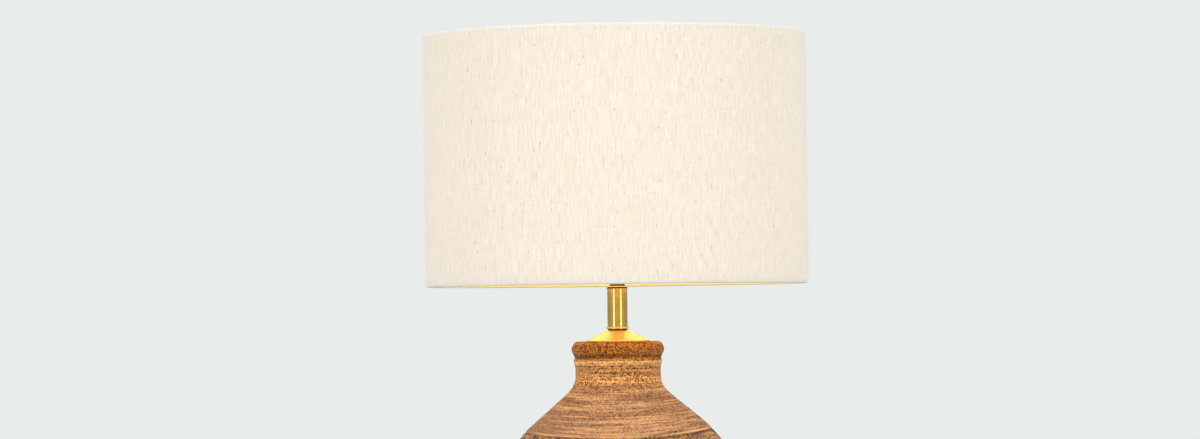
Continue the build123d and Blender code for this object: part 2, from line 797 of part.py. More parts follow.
pieces = {
    "cork_pad": cork_pad,
    "ceramic_body": ceramic_body,
    "cord_grommet": cord_grommet,
    "clamp_plate": clamp_plate,
    "lock_washer": lock_washer,
    "rod_nut": rod_nut,
    "threaded_rod": threaded_rod,
    "mouth_plug": mouth_plug,
    "vase_cap": vase_cap,
    "lower_gasket": lower_gasket,
    "tube_ferrule": tube_ferrule,
    "neck_tube": neck_tube,
    "upper_gasket": upper_gasket,
    "neck_collar": neck_collar,
    "holder_cap": holder_cap,
    "holder_grub_screw": holder_grub_screw,
    "holder_body": holder_body,
    "contact_block": contact_block,
    "screw_shell": screw_shell,
    "centre_contact": centre_contact,
    "terminal_screws": terminal_screws,
    "switch_bar": switch_bar,
    "switch_blade": switch_blade,
    "shade_ring": shade_ring,
    "bulb_contact": bulb_contact,
    "bulb_insulator": bulb_insulator,
    "bulb_cap": bulb_cap,
    "bulb_glass": bulb_glass,
    "bulb_stem": bulb_stem,
    "bulb_filaments": bulb_filaments,
    "shade_fitter": shade_fitter,
    "shade_arms": shade_arms,
    "shade_bottom_ring": shade_bottom_ring,
    "shade_top_ring": shade_top_ring,
    "shade_liner": shade_liner,
    "shade_fabric": shade_fabric,
}

os.makedirs("parts", exist_ok=True)
for name, piece in pieces.items():
    piece.part.label = name
    export_step(piece.part, f"parts/{name}.step")
    print(f"{name}: {len(piece.part.solids())} solids, {piece.part.volume:.0f} cubic mm")
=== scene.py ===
# %% [markdown]
# # A ceramic table lamp
# The lamp is a wheel-thrown stoneware vessel with a brass cap and neck, a black lampholder and a
# linen drum shade with the bulb alight inside it. The solid model is already in place as a frame
# of named nodes, so this lesson dresses it: it sets up the camera and the light, builds the finishes
# as shader nodes, and turns finer pieces where a plain solid wouldn't show what the real one does.

# %% Load the frame
import json
import math

import bmesh
import bpy
from mathutils import Matrix, Quaternion, Vector, geometry, noise

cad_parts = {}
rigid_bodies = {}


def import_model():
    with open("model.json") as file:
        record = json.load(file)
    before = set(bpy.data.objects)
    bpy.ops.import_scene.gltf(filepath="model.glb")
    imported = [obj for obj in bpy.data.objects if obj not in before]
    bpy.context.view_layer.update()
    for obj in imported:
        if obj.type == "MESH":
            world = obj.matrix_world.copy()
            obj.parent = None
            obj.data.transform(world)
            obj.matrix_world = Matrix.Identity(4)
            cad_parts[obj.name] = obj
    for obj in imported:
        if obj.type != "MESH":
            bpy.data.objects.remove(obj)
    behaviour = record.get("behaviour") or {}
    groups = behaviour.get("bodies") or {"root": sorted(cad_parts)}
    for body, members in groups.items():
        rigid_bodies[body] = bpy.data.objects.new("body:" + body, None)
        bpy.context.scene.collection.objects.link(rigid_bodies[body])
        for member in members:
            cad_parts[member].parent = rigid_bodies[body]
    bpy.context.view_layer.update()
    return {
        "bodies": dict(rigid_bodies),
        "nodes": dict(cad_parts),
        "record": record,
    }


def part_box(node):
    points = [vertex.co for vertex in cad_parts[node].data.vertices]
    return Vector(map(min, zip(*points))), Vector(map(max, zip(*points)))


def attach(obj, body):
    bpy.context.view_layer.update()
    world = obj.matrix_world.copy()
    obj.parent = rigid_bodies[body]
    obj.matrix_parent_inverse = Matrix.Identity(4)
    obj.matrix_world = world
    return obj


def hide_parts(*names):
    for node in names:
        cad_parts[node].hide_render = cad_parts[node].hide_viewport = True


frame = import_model()
nodes = frame["nodes"]
scene = bpy.context.scene
scene.view_settings.view_transform = "Standard"

# %% [markdown]
# ## Camera
# The photograph was taken from far away with a long lens: the rims of the shade are very thin
# ellipses. The eye is at the level of the vessel's lip, and the picture leans a little, so that the
# lamp's right side stands higher. A view can be matched by eye, but once the distance is chosen, the
# known width of the shade gives the lens. A small roll then gives the lean.

# %% Camera
PHOTO_WIDTH = 1200              # pixels
FOCAL_PIXELS = 4653             # the lens, in the same pixels
SENSOR_WIDTH = 36.0             # millimetres
CAMERA_DISTANCE = 4.86
EYE_HEIGHT = 0.335
AIM = Vector((-0.0170, 0.0, 0.4375))
PHOTO_LEAN = math.radians(0.73)

camera_data = bpy.data.cameras.new("photo_camera")
camera_data.sensor_fit = "HORIZONTAL"
camera_data.sensor_width = SENSOR_WIDTH
camera_data.lens = SENSOR_WIDTH * FOCAL_PIXELS / PHOTO_WIDTH
camera_data.clip_end = 100.0
camera = bpy.data.objects.new("photo_camera", camera_data)
scene.collection.objects.link(camera)
camera.location = (AIM.x, -CAMERA_DISTANCE, EYE_HEIGHT)
facing = (AIM - camera.location).to_track_quat("-Z", "Y")
camera.rotation_mode = "QUATERNION"
camera.rotation_quaternion = facing @ Quaternion((0, 0, 1), -PHOTO_LEAN)
scene.camera = camera
print(f"lens {camera_data.lens:.0f} mm")

# %% [markdown]
# ## Helpers for shader nodes
# Every finish is a small network of nodes. It could be joined up by hand in the shader editor, but the
# same few steps come back all the time, so each is a helper here. One turns a colour as a painter
# would note it (0 to 255) into the linear light that shaders count in, and one adds a node and fills
# its inputs.


# %% Shader helpers
def tone(red, green, blue):
    """A colour noted in 0 to 255 as linear light, with full alpha."""
    shares = [c / 255 for c in (red, green, blue)]
    linear = [s / 12.92 if s <= 0.04045 else ((s + 0.055) / 1.055) ** 2.4 for s in shares]
    return (*linear, 1.0)


def fill(tree, made, inputs):
    """Joins or sets the inputs of a node, by name or number."""
    for key, value in inputs.items():
        if isinstance(value, bpy.types.NodeSocket):
            tree.links.new(value, made.inputs[key])
        else:
            made.inputs[key].default_value = value


def add(tree, kind, inputs=None, **settings):
    """Adds a node, sets it up and fills its inputs."""
    made = tree.nodes.new("ShaderNode" + kind)
    for key, value in settings.items():
        setattr(made, key, value)
    fill(tree, made, inputs or {})
    return made


print(f"a grey noted as 128 is {tone(128, 128, 128)[0]:.2f} of full light")

# %% [markdown]
# ## Arithmetic and layers
# A mask is a value from 0 to 1 that changes over the surface, and most of a finish is arithmetic on
# masks. Each node could be added where it is used, but a finish reads better when each step is one
# word. A ramp picks out a part of a noise, a blend lays one colour over another where a mask says, and
# a bump turns a height into a lean of the surface.


# %% Arithmetic and layers
def math_of(tree, operation, first, second=0.0, clamp=False):
    """One step of arithmetic on values that change over the surface."""
    return add(tree, "Math", {0: first, 1: second}, operation=operation, use_clamp=clamp).outputs[0]


def times(tree, first, second):
    """Two values multiplied."""
    return math_of(tree, "MULTIPLY", first, second)


def plus(tree, first, second):
    """Two values added up."""
    return math_of(tree, "ADD", first, second)


def mix_of(tree, share, first, second):
    """Goes from the first value to the second as share goes from 0 to 1."""
    return add(tree, "Mix", {0: share, 2: first, 3: second}, data_type="FLOAT").outputs[0]


def blend_of(tree, share, first, second):
    """Goes from the first colour to the second as share goes from 0 to 1."""
    return add(tree, "Mix", {0: share, 6: first, 7: second}, data_type="RGBA").outputs[2]


def painted(tree, colour, *layers):
    """Lays colours over the first one, each where its own mask says."""
    for mask, over in layers:
        colour = blend_of(tree, mask, colour, over)
    return colour


def ramp_of(tree, value, low, high, to_low=0.0, to_high=1.0):
    """Stretches the part of a value between low and high, smoothly, over a new range."""
    stretch = add(
        tree, "MapRange", {"Value": value, 1: low, 2: high, 3: to_low, 4: to_high},
        interpolation_type="SMOOTHSTEP",
    )
    return stretch.outputs["Result"]


def bump_of(tree, height, distance, strength=1.0):
    """A normal that leans as if the height stood out by that distance."""
    bump = add(tree, "Bump", {"Height": height, "Distance": distance, "Strength": strength})
    return bump.outputs["Normal"]


# %% [markdown]
# ## Helpers for patterns
# A pattern is a noise read at a place. Squeezing the place first draws the noise out into streaks, and
# taking it apart gives its height or its distance from the lamp's axis. A picture could be wrapped on
# instead, but a noise needs no unwrapping and fits any piece.


# %% Pattern helpers
def noise_of(tree, place, scale, detail=2.0, roughness=0.5):
    """Soft random values around a half, with features about one over scale across."""
    made = add(
        tree, "TexNoise",
        {"Vector": place, "Scale": scale, "Detail": detail, "Roughness": roughness},
    )
    return made.outputs["Fac"]


def stretched(tree, place, across, upright):
    """Scales a place so that a pattern on it is drawn out sideways or upright."""
    return add(tree, "Mapping", {"Vector": place, "Scale": (across, across, upright)}).outputs[0]


def parts_of(tree, place):
    """X, Y and Z of a place or a colour."""
    return add(tree, "SeparateXYZ", {0: place}).outputs


def reach_of(tree, place):
    """Distance from the lamp's axis."""
    level = add(tree, "VectorMath", {0: place, 1: (1.0, 1.0, 0.0)}, operation="MULTIPLY")
    return add(tree, "VectorMath", {0: level.outputs[0]}, operation="LENGTH").outputs["Value"]


def own_place(tree):
    """A place in the object's own coordinates."""
    return add(tree, "TexCoord").outputs["Object"]


# %% [markdown]
# ## Starting groups and materials
# A node group is a network that several materials share, with named values in and out. A material here
# is a Principled shader with its constants set. Both could be started by hand each time, but with these
# helpers the sockets are named as keywords, and a finish takes a line or two to start.


# %% Groups and materials
def spaced(values):
    """Keywords as the names of sockets, which have spaces."""
    return {key.replace("_", " "): value for key, value in values.items()}


def new_group(name, inputs, outputs):
    """Starts a shared network with named values in and out."""
    tree = bpy.data.node_groups.new(name, "ShaderNodeTree")
    for socket, default in inputs.items():
        kind = "NodeSocketColor" if isinstance(default, tuple) else "NodeSocketFloat"
        tree.interface.new_socket(socket, in_out="INPUT", socket_type=kind).default_value = default
    for socket, kind in outputs.items():
        tree.interface.new_socket(socket, in_out="OUTPUT", socket_type=kind)
    given, put = tree.nodes.new("NodeGroupInput"), tree.nodes.new("NodeGroupOutput")
    return tree, given.outputs, put, own_place(tree)


def use_group(tree, group, **values):
    """Places a shared network in a finish with its own values."""
    made = add(tree, "Group", node_tree=group)
    fill(tree, made, spaced(values))
    return made.outputs


def new_finish(name, **constants):
    """Starts a material: its node tree, its Principled shader and the object's own coordinates."""
    material = bpy.data.materials.new(name)
    material.use_nodes = True
    tree = material.node_tree
    shader = tree.nodes["Principled BSDF"]
    fill(tree, shader, spaced(constants))
    return material, tree, shader, own_place(tree)


# %% [markdown]
# ## Floor
# The photograph's backdrop is a plain, cool, nearly white grey. A cove could be modelled, but a flat
# floor that fades into that colour a few metres out does as well. Light Path tells the rays that see
# the floor from the ones that carry light, so it is as pale as it should be without more light on the
# lamp.

# %% Floor
BACKDROP = tone(232, 236, 234)
FLOOR_TONE = tone(226, 230, 228)
FLOOR_RADIUS = 6.0
FLOOR_CLEAR_RADIUS = 1.3        # inside this the floor shows the lamp's shadow
FLOOR_FAR_RADIUS = 3.6          # outside this it is all backdrop
FLOOR_DROP = 0.0002


def rays_that_see(tree):
    """One for rays from the camera, a mirror or glass, and nought for rays of plain light."""
    path = add(tree, "LightPath").outputs
    seen = math_of(tree, "MAXIMUM", path["Is Camera Ray"], path["Is Glossy Ray"])
    return math_of(tree, "MAXIMUM", seen, path["Is Transmission Ray"]), path


def floor_finish():
    """A pale floor that turns into the backdrop with distance."""
    material, tree, shader, place = new_finish("studio_floor", Base_Color=FLOOR_TONE, Roughness=0.9)
    length = add(tree, "VectorMath", {0: place}, operation="LENGTH").outputs["Value"]
    far = ramp_of(tree, length, FLOOR_CLEAR_RADIUS, FLOOR_FAR_RADIUS)
    sees, _ = rays_that_see(tree)
    glow = add(tree, "Emission", {"Color": BACKDROP, "Strength": 1.0})
    both = add(tree, "MixShader", {0: times(tree, far, sees), 1: shader.outputs[0], 2: glow.outputs[0]})
    fill(tree, tree.nodes["Material Output"], {"Surface": both.outputs[0]})
    return material


def make_floor():
    """A disc just under the cork pad."""
    bm = bmesh.new()
    bmesh.ops.create_circle(bm, cap_ends=True, segments=96, radius=FLOOR_RADIUS)
    bmesh.ops.translate(bm, verts=bm.verts, vec=(0, 0, -FLOOR_DROP))
    mesh = bpy.data.meshes.new("studio_floor")
    bm.to_mesh(mesh)
    bm.free()
    floor = bpy.data.objects.new("studio_floor", mesh)
    mesh.materials.append(floor_finish())
    scene.collection.objects.link(floor)
    return floor


floor = make_floor()
print(f"{floor.name}: {FLOOR_RADIUS:.0f} m in radius")

# %% [markdown]
# ## World
# Soft light comes from all round, as in a white studio. A picture of a room could give it, but a plain
# world is enough, because it is told apart again: rays of plain light get daylight, the camera and the
# glass get the backdrop's colour, and metal reflects a dimmer room, dimmest at its far end.

# %% World
SOFT_DAYLIGHT = tone(255, 253, 250)
AMBIENT = 0.93
ROOM_BEFORE = 0.66              # the room behind the camera, as metal reflects it
ROOM_BEYOND = 0.48              # and the far end of the room


def make_world():
    """Soft light from all round, with the backdrop's colour for what is seen."""
    world = bpy.data.worlds.new("studio")
    scene.world = world
    world.use_nodes = True
    tree = world.node_tree
    tree.nodes.clear()
    sees, path = rays_that_see(tree)
    toward = parts_of(tree, add(tree, "TexCoord").outputs["Generated"])
    gloom = ramp_of(tree, toward["Y"], -1.0, 0.4, ROOM_BEFORE, ROOM_BEYOND)
    level = mix_of(tree, path["Is Glossy Ray"], 1.0, gloom)
    shown = add(tree, "Background", {"Color": BACKDROP, "Strength": level})
    light = add(tree, "Background", {"Color": SOFT_DAYLIGHT, "Strength": AMBIENT})
    both = add(tree, "MixShader", {0: sees, 1: light.outputs[0], 2: shown.outputs[0]})
    add(tree, "OutputWorld", {"Surface": both.outputs[0]})
    return world


world = make_world()
print(f"{world.name} world: daylight at {AMBIENT:.2f}")

# %% [markdown]
# ## Lamps
# A photographer lights such a lamp with softboxes, and an area lamp is Blender's softbox. The brass
# neck shows two bright upright streaks, so two narrow ones stand in front, left and right. A large
# panel overhead gives the soft light from above, and a weak one in front lifts the shadows.

# %% Lamps
LAMP_TARGET = Vector((0.0, 0.0, 0.32))
STRIP_ANGLE = math.radians(41)  # each side of the camera, seen from the lamp
STRIP_DISTANCE = 2.4
STRIP_HEIGHT = 0.75
STRIP_SIZE = (0.42, 1.9)
STRIP_WATTS = 8.0
PANEL_PLACE = (0.0, -0.5, 2.6)
PANEL_SIZE = (2.2, 2.2)
PANEL_WATTS = 18.0
FILL_PLACE = (0.0, -4.2, 0.9)
FILL_SIZE = (2.4, 1.8)
FILL_WATTS = 6.0


def softbox(name, place, size, watts):
    """A rectangle of even light aimed at the lamp, unseen by the camera itself."""
    data = bpy.data.lights.new(name, "AREA")
    data.shape = "RECTANGLE"
    data.size, data.size_y = size
    data.energy = watts
    lamp = bpy.data.objects.new(name, data)
    lamp.location = place
    lamp.rotation_euler = (LAMP_TARGET - Vector(place)).to_track_quat("-Z", "Y").to_euler()
    lamp.visible_camera = False
    scene.collection.objects.link(lamp)
    return lamp


lamps = []
for side, name in ((-1, "strip_left"), (1, "strip_right")):
    across = side * STRIP_DISTANCE * math.sin(STRIP_ANGLE)
    before = -STRIP_DISTANCE * math.cos(STRIP_ANGLE)
    lamps.append(softbox(name, (across, before, STRIP_HEIGHT), STRIP_SIZE, STRIP_WATTS))
lamps.append(softbox("panel_above", PANEL_PLACE, PANEL_SIZE, PANEL_WATTS))
lamps.append(softbox("fill_front", FILL_PLACE, FILL_SIZE, FILL_WATTS))
lamps[-1].visible_glossy = False    # the brass shows the strips and a dim room, not this panel
print("softboxes:", ", ".join(f"{lamp.name} {lamp.data.energy:.0f} W" for lamp in lamps))

# %% [markdown]
# ## Light in the shade
# The bulb is on: the cloth glows, and where the lower rim lets one look in, the white lining gleams in
# its light and the tucked hem is painted gold. The strips in the bulb look alight by themselves, but a
# point light of the bulb's own size does the lighting, because it gives far less grain than tiny bright
# strips.

# %% Bulb light
BULB_WATTS = 1.8
BULB_COLOUR = (1.0, 0.74, 0.42)
BULB_LIGHT_SHARE = 0.9          # of the globe's radius

glass_low, glass_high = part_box("bulb_glass")
bulb_radius = glass_high.x
bulb_centre = Vector((0.0, 0.0, glass_high.z - bulb_radius))
bulb_light = bpy.data.lights.new("bulb_light", "POINT")
bulb_light.energy = BULB_WATTS
bulb_light.color = BULB_COLOUR
bulb_light.shadow_soft_size = bulb_radius * BULB_LIGHT_SHARE
bulb_lamp = bpy.data.objects.new("bulb_light", bulb_light)
bulb_lamp.location = bulb_centre
bulb_lamp.visible_camera = False
bulb_lamp.visible_glossy = False
bulb_lamp.visible_transmission = False
scene.collection.objects.link(bulb_lamp)
bulb_lamp.parent = frame["bodies"]["bulb"]
print(f"bulb light at {bulb_centre.z:.3f} m")

# %% [markdown]
# ## Shared effects
# Three effects turn up on many of the pieces. Turned metal and wood have fine lines around the axis.
# Mouldings, rubber and paint have a slight grain. Anything that is handled has faint cloudy smudges,
# which change its gloss more than its colour. Each is a node group with its own sizes, so a finish only
# says how much of it there is.

# %% Shader groups
VALUE, COLOUR = "NodeSocketFloat", "NodeSocketColor"
LINE_SLANT = 0.73               # lets the lines run on over flat faces too
LINE_WOBBLE = 0.0004
DUST_TONE = tone(198, 190, 178)


def lathe_lines_group():
    """Fine lines around the lamp's axis, as a lathe tool or a polishing wheel leaves."""
    tree, given, put, place = new_group(
        "Lathe lines", {"Lines per metre": 2500.0, "Unevenness": 6.0}, {"Line": VALUE, "Height": VALUE}
    )
    run = plus(tree, parts_of(tree, place)["Z"], times(tree, reach_of(tree, place), LINE_SLANT))
    run = plus(tree, run, times(tree, noise_of(tree, place, 40.0), LINE_WOBBLE))
    count = times(tree, run, given["Lines per metre"])
    fine = add(tree, "TexNoise", {"W": count, "Scale": 1.0, "Detail": 3.0}, noise_dimensions="1D")
    coarse = math_of(tree, "DIVIDE", count, given["Unevenness"])
    slow = add(tree, "TexNoise", {"W": coarse, "Scale": 1.0, "Detail": 2.0}, noise_dimensions="1D")
    both = times(tree, fine.outputs["Fac"], slow.outputs["Fac"])
    fill(tree, put, {"Line": ramp_of(tree, both, 0.15, 0.4), "Height": both})
    return tree


def fine_grain_group():
    """The slight grain of a moulding, a rubber ring or a coat of paint."""
    tree, given, put, place = new_group("Fine grain", {"Grains per metre": 3000.0}, {"Height": VALUE})
    fill(tree, put, {"Height": noise_of(tree, place, given["Grains per metre"], 3.0)})
    return tree


def handling_group():
    """Cloudy smudges and a little dust: a colour that varies, and a roughness that varies more."""
    tree, given, put, place = new_group(
        "Handling",
        {"Colour": (0.5, 0.5, 0.5, 1.0), "Dust": 0.04, "Roughness": 0.4, "Smudge": 0.12},
        {"Colour": COLOUR, "Roughness": VALUE},
    )
    cloud = ramp_of(tree, noise_of(tree, place, 55.0, 4.0, 0.6), 0.35, 0.7)
    spots = ramp_of(tree, noise_of(tree, place, 900.0), 0.62, 0.75)
    dust = times(tree, math_of(tree, "ADD", cloud, spots, clamp=True), given["Dust"])
    smudge = times(tree, cloud, given["Smudge"])
    fill(tree, put, {
        "Colour": blend_of(tree, dust, given["Colour"], DUST_TONE),
        "Roughness": math_of(tree, "ADD", given["Roughness"], smudge, clamp=True),
    })
    return tree


LATHE_LINES = lathe_lines_group()
FINE_GRAIN = fine_grain_group()
HANDLING = handling_group()
print("groups:", ", ".join(sorted(group.name for group in bpy.data.node_groups)))

# %% [markdown]
# ## Metal, moulding and rubber finishes
# The brass is satin: it was turned, then polished on a wheel, so its lines run around the axis and
# its gloss is a little uneven. The lampholder is black moulded plastic, nearly matt. The hidden metal
# is zinc-plated steel, and the lamp's contacts are bright brass. Two functions make them all, and the
# numbers say what differs: colour, roughness, and the size of lines or grain.

# %% Metals and mouldings
LINE_SHADE = 0.88               # the hollow of a line, as a share of the metal's colour


def metal_finish(name, colour, roughness, smudge, lines, line_depth, **constants):
    """Turned and polished metal."""
    material, tree, shader, _ = new_finish(name, Metallic=1.0, **constants)
    marks = use_group(tree, LATHE_LINES, Lines_per_metre=lines)
    dark = (*(c * LINE_SHADE for c in colour[:3]), 1.0)
    lined = blend_of(tree, marks["Line"], dark, colour)
    worn = use_group(tree, HANDLING, Colour=lined, Dust=0.02, Roughness=roughness, Smudge=smudge)
    fill(tree, shader, {
        "Base Color": worn["Colour"], "Roughness": worn["Roughness"],
        "Normal": bump_of(tree, marks["Height"], line_depth),
    })
    return material


def moulded_finish(name, colour, roughness, grain, depth, dust, **constants):
    """Plastic, rubber or paint with a slight grain."""
    material, tree, shader, _ = new_finish(name, **constants)
    worn = use_group(tree, HANDLING, Colour=colour, Dust=dust, Roughness=roughness, Smudge=0.12)
    surface = use_group(tree, FINE_GRAIN, Grains_per_metre=grain)
    fill(tree, shader, {
        "Base Color": worn["Colour"], "Roughness": worn["Roughness"],
        "Normal": bump_of(tree, surface["Height"], depth),
    })
    return material


SATIN_BRASS = metal_finish(
    "satin_brass", (0.83, 0.52, 0.11, 1.0), roughness=0.17, smudge=0.04, lines=2600.0, line_depth=0.000003,
    Coat_Weight=0.7, Coat_Roughness=0.06,
)
SPUN_BRASS = metal_finish(
    "spun_brass", (0.78, 0.68, 0.28, 1.0), roughness=0.29, smudge=0.05, lines=1800.0, line_depth=0.000008
)
CONTACT_BRASS = metal_finish(
    "contact_brass", (0.82, 0.60, 0.26, 1.0), roughness=0.26, smudge=0.10, lines=1500.0, line_depth=0.00002
)
ZINC_STEEL = metal_finish(
    "zinc_steel", (0.62, 0.62, 0.60, 1.0), roughness=0.34, smudge=0.12, lines=1800.0, line_depth=0.00003
)
BULB_METAL = metal_finish(
    "bulb_metal", (0.78, 0.78, 0.77, 1.0), roughness=0.28, smudge=0.10, lines=1500.0, line_depth=0.00002
)
BLACK_MOULDING = moulded_finish(
    "black_moulding", tone(22, 21, 20), roughness=0.42, grain=2600.0, depth=0.00003, dust=0.02
)
BLACK_RUBBER = moulded_finish(
    "black_rubber", tone(24, 24, 24), roughness=0.72, grain=2000.0, depth=0.00005, dust=0.04
)
SHADE_WIRE = moulded_finish(
    "shade_wire", tone(236, 233, 226), roughness=0.36, grain=900.0, depth=0.00004, dust=0.03
)
PORCELAIN = moulded_finish(
    "porcelain", tone(238, 235, 226), roughness=0.14, grain=260.0, depth=0.00004, dust=0.03,
    Coat_Weight=0.6,
)
BULB_INSULATION = moulded_finish(
    "bulb_insulation", tone(14, 14, 18), roughness=0.16, grain=300.0, depth=0.00003, dust=0.02
)
print(f"{len(bpy.data.materials)} materials, with the frame's own")

# %% [markdown]
# ## Cork and plug wood
# Cork is pressed from granules, so its cells are small patches of different browns with dark gaps.
# The wooden plug in the vessel's mouth is turned: rings of grain and lathe lines. Cells, rings and
# noise are all worked out from the place on the piece, so no picture has to be wrapped around anything.

# %% Cork and wood
CORK_GRANULES = 420.0           # per metre


def cork_finish():
    """Pressed cork granules."""
    material, tree, shader, place = new_finish("cork", Roughness=0.88)
    cells = add(tree, "TexVoronoi", {"Vector": place, "Scale": CORK_GRANULES, "Randomness": 1.0})
    gaps = add(tree, "TexVoronoi", {"Vector": place, "Scale": CORK_GRANULES}, feature="DISTANCE_TO_EDGE")
    pick = parts_of(tree, cells.outputs["Color"])["X"]
    fleck = ramp_of(tree, noise_of(tree, place, 1500.0, 3.0), 0.58, 0.7)
    granule = painted(tree, tone(150, 106, 66), (pick, tone(206, 162, 112)), (fleck, tone(92, 60, 36)))
    seam = ramp_of(tree, gaps.outputs["Distance"], 0.0, 0.12)
    fill(tree, shader, {
        "Base Color": blend_of(tree, seam, tone(84, 56, 34), granule),
        "Normal": bump_of(tree, seam, 0.0003),
    })
    return material


def plug_wood_finish():
    """Turned beech: growth rings seen on the end, short flecks along the grain."""
    material, tree, shader, place = new_finish("plug_wood", Roughness=0.55)
    rings = add(
        tree, "TexWave", {"Vector": place, "Scale": 60.0, "Distortion": 5.0, "Detail": 2.0},
        wave_type="RINGS", rings_direction="X",
    )
    fleck = ramp_of(tree, noise_of(tree, stretched(tree, place, 1600.0, 240.0), 1.0), 0.6, 0.72)
    layers = (rings.outputs["Fac"], tone(212, 172, 124)), (fleck, tone(140, 94, 54))
    lines = use_group(tree, LATHE_LINES, Lines_per_metre=1400.0)
    fill(tree, shader, {
        "Base Color": painted(tree, tone(186, 140, 92), *layers),
        "Normal": bump_of(tree, lines["Height"], 0.00006),
    })
    return material


CORK = cork_finish()
PLUG_WOOD = plug_wood_finish()
print(f"shader nodes: cork {len(CORK.node_tree.nodes)}, wood {len(PLUG_WOOD.node_tree.nodes)}")

# %% [markdown]
# ## Glass and light strips
# The bulb is clear blown glass with faint ripples, and its strips are rows of small chips under a
# yellow coat. The strips could do the lighting too, but a point light already does, so they only have
# to look alight. Their chips are a noise drawn out sideways, which makes the glow uneven.


# %% Glass and light strips
def clear_glass_finish():
    """Thin blown glass with a few faint ripples."""
    material, tree, shader, place = new_finish(
        "clear_glass", Base_Color=(0.97, 0.98, 0.97, 1.0), Roughness=0.02, IOR=1.45,
        Transmission_Weight=1.0,
    )
    ripple = noise_of(tree, stretched(tree, place, 60.0, 25.0), 1.0, 1.0)
    fill(tree, shader, {"Normal": bump_of(tree, ripple, 0.0002, 0.4)})
    return material


def light_strip_finish():
    """A glowing strip: small bright chips under a yellow coat."""
    material, tree, shader, place = new_finish(
        "filament", Base_Color=tone(236, 190, 92), Roughness=0.5, Emission_Strength=5.0
    )
    chips = ramp_of(tree, noise_of(tree, stretched(tree, place, 300.0, 900.0), 1.0), 0.4, 0.65)
    glow = blend_of(tree, chips, (1.0, 0.52, 0.16, 1.0), (1.0, 0.78, 0.42, 1.0))
    fill(tree, shader, {"Emission Color": glow})
    return material


CLEAR_GLASS = clear_glass_finish()
LIGHT_STRIP = light_strip_finish()
print(f"shader nodes: glass {len(CLEAR_GLASS.node_tree.nodes)}, strips {len(LIGHT_STRIP.node_tree.nodes)}")

# %% [markdown]
# ## Stoneware: its zones
# The pot's finish changes with height. The rolled lip is a deep ochre, with a groove painted dark as
# shade and a pale bead below it. The sandy neck has a darker throat and turns into a streaked shoulder,
# which ends in a ridge with a painted highlight on its edge and painted shadow under it, and below that
# is a rough band. Zones could be painted by hand on the mesh, but measured drops below the lip are
# quicker to set and easy to change. The ridge was trimmed by hand and isn't level, so heights are first
# bent as the ridge is.

# %% Stoneware zones
LIP_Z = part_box("ceramic_body")[1].z
FOOT_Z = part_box("ceramic_body")[0].z
NECK_DROP = 0.0287              # all drops are measured down from the lip
RIDGE_DROP = 0.0934
RING_DROP = 0.226
RIDGE_RADIUS = 0.0977
RIDGE_DIP = 0.0049              # hand-trimmed: it dips at the front and the back
RIDGE_LIFT = 0.0019             # and rises at the sides
RIDGE_TILT = 0.0011             # more at the right than at the left
FOOT_HEIGHT = 0.018
LIP_ENDS = (0.0211, 0.0181)     # between these the ochre of the lip fades in
NECK_ENDS = (0.053, 0.043)      # and here the sand of the neck
GROOVE_SHADE_ZONE = (0.0168, 0.0134)  # each zone from its lower end to its upper one
BEAD_ZONE = (0.0220, 0.0208)
PALE_BAND_ZONE = (0.0250, 0.0214)
THROAT_ZONE = (0.0365, 0.0245)
ASH_ZONE = (RING_DROP, 0.039)
GREYEST_ZONE = (0.066, 0.047)
RIDGE_HIGHLIGHT_ZONE = (RIDGE_DROP + 0.0004, RIDGE_DROP - 0.0009)
SHADOW_ZONE = (RIDGE_DROP + 0.0034, RIDGE_DROP + 0.0012)
BAND_ZONE = (RING_DROP - 0.003, RIDGE_DROP + 0.0008)
FOOT_FADE = 0.006


def above(tree, height, drops):
    """Fades in from the first drop below the lip up to the second."""
    return ramp_of(tree, height, LIP_Z - drops[0], LIP_Z - drops[1])


def zone(tree, height, drops, edge):
    """One between two drops below the lip, fading over an edge."""
    rises = ramp_of(tree, height, LIP_Z - drops[0] - edge, LIP_Z - drops[0] + edge)
    falls = ramp_of(tree, height, LIP_Z - drops[1] - edge, LIP_Z - drops[1] + edge, 1.0, 0.0)
    return times(tree, rises, falls)


def wheel_level(tree, place):
    """Height as the potter's wheel left it: lines on the shoulder dip at the front and the back."""
    x, y, z = parts_of(tree, place)
    fall = RIDGE_DROP - NECK_DROP
    below = math_of(tree, "MAXIMUM", math_of(tree, "SUBTRACT", LIP_Z - NECK_DROP, z), 0.0)
    share = math_of(tree, "DIVIDE", math_of(tree, "MINIMUM", below, fall), fall)
    reach = math_of(tree, "MAXIMUM", reach_of(tree, place), 0.001)
    front = math_of(tree, "DIVIDE", times(tree, y, y), reach)
    dip = times(tree, front, (RIDGE_DIP + RIDGE_LIFT) / RIDGE_RADIUS)
    lift = plus(tree, times(tree, x, RIDGE_TILT / RIDGE_RADIUS), RIDGE_LIFT)
    level = plus(tree, z, times(tree, math_of(tree, "SUBTRACT", dip, lift), share))
    return level, add(tree, "CombineXYZ", {"X": x, "Y": y, "Z": level}).outputs[0]


print(f"lip at {LIP_Z:.3f} m, ridge {RIDGE_DROP * 1000:.0f} mm below it")

# %% [markdown]
# ## Stoneware: clay, ash and wear
# The clay is iron-rich and full of grit. Brushed-on ash has run into the throwing lines, so the colour
# changes in thin level streaks, from pale tan to a purplish brown, and the rough band has slate-dark
# patches. Streaks come from a noise that is squeezed upright, so it is drawn out around the vessel.
# Grit is a mosaic of small cells, because a cloudy noise alone looks like worm tracks, not like sand.


# %% Clay, ash and wear
def clay_grain(tree, place):
    """Grit of the clay: a cloudy noise, and grains of random lightness in clouds of it."""
    grit = noise_of(tree, place, 570.0, 2.0, 0.6)
    cells = add(tree, "TexVoronoi", {"Vector": place, "Scale": 590.0}).outputs["Color"]
    mixed = mix_of(tree, 0.62, ramp_of(tree, grit, 0.44, 0.57), parts_of(tree, cells)["X"])
    return grit, ramp_of(tree, mixed, 0.24, 0.74)


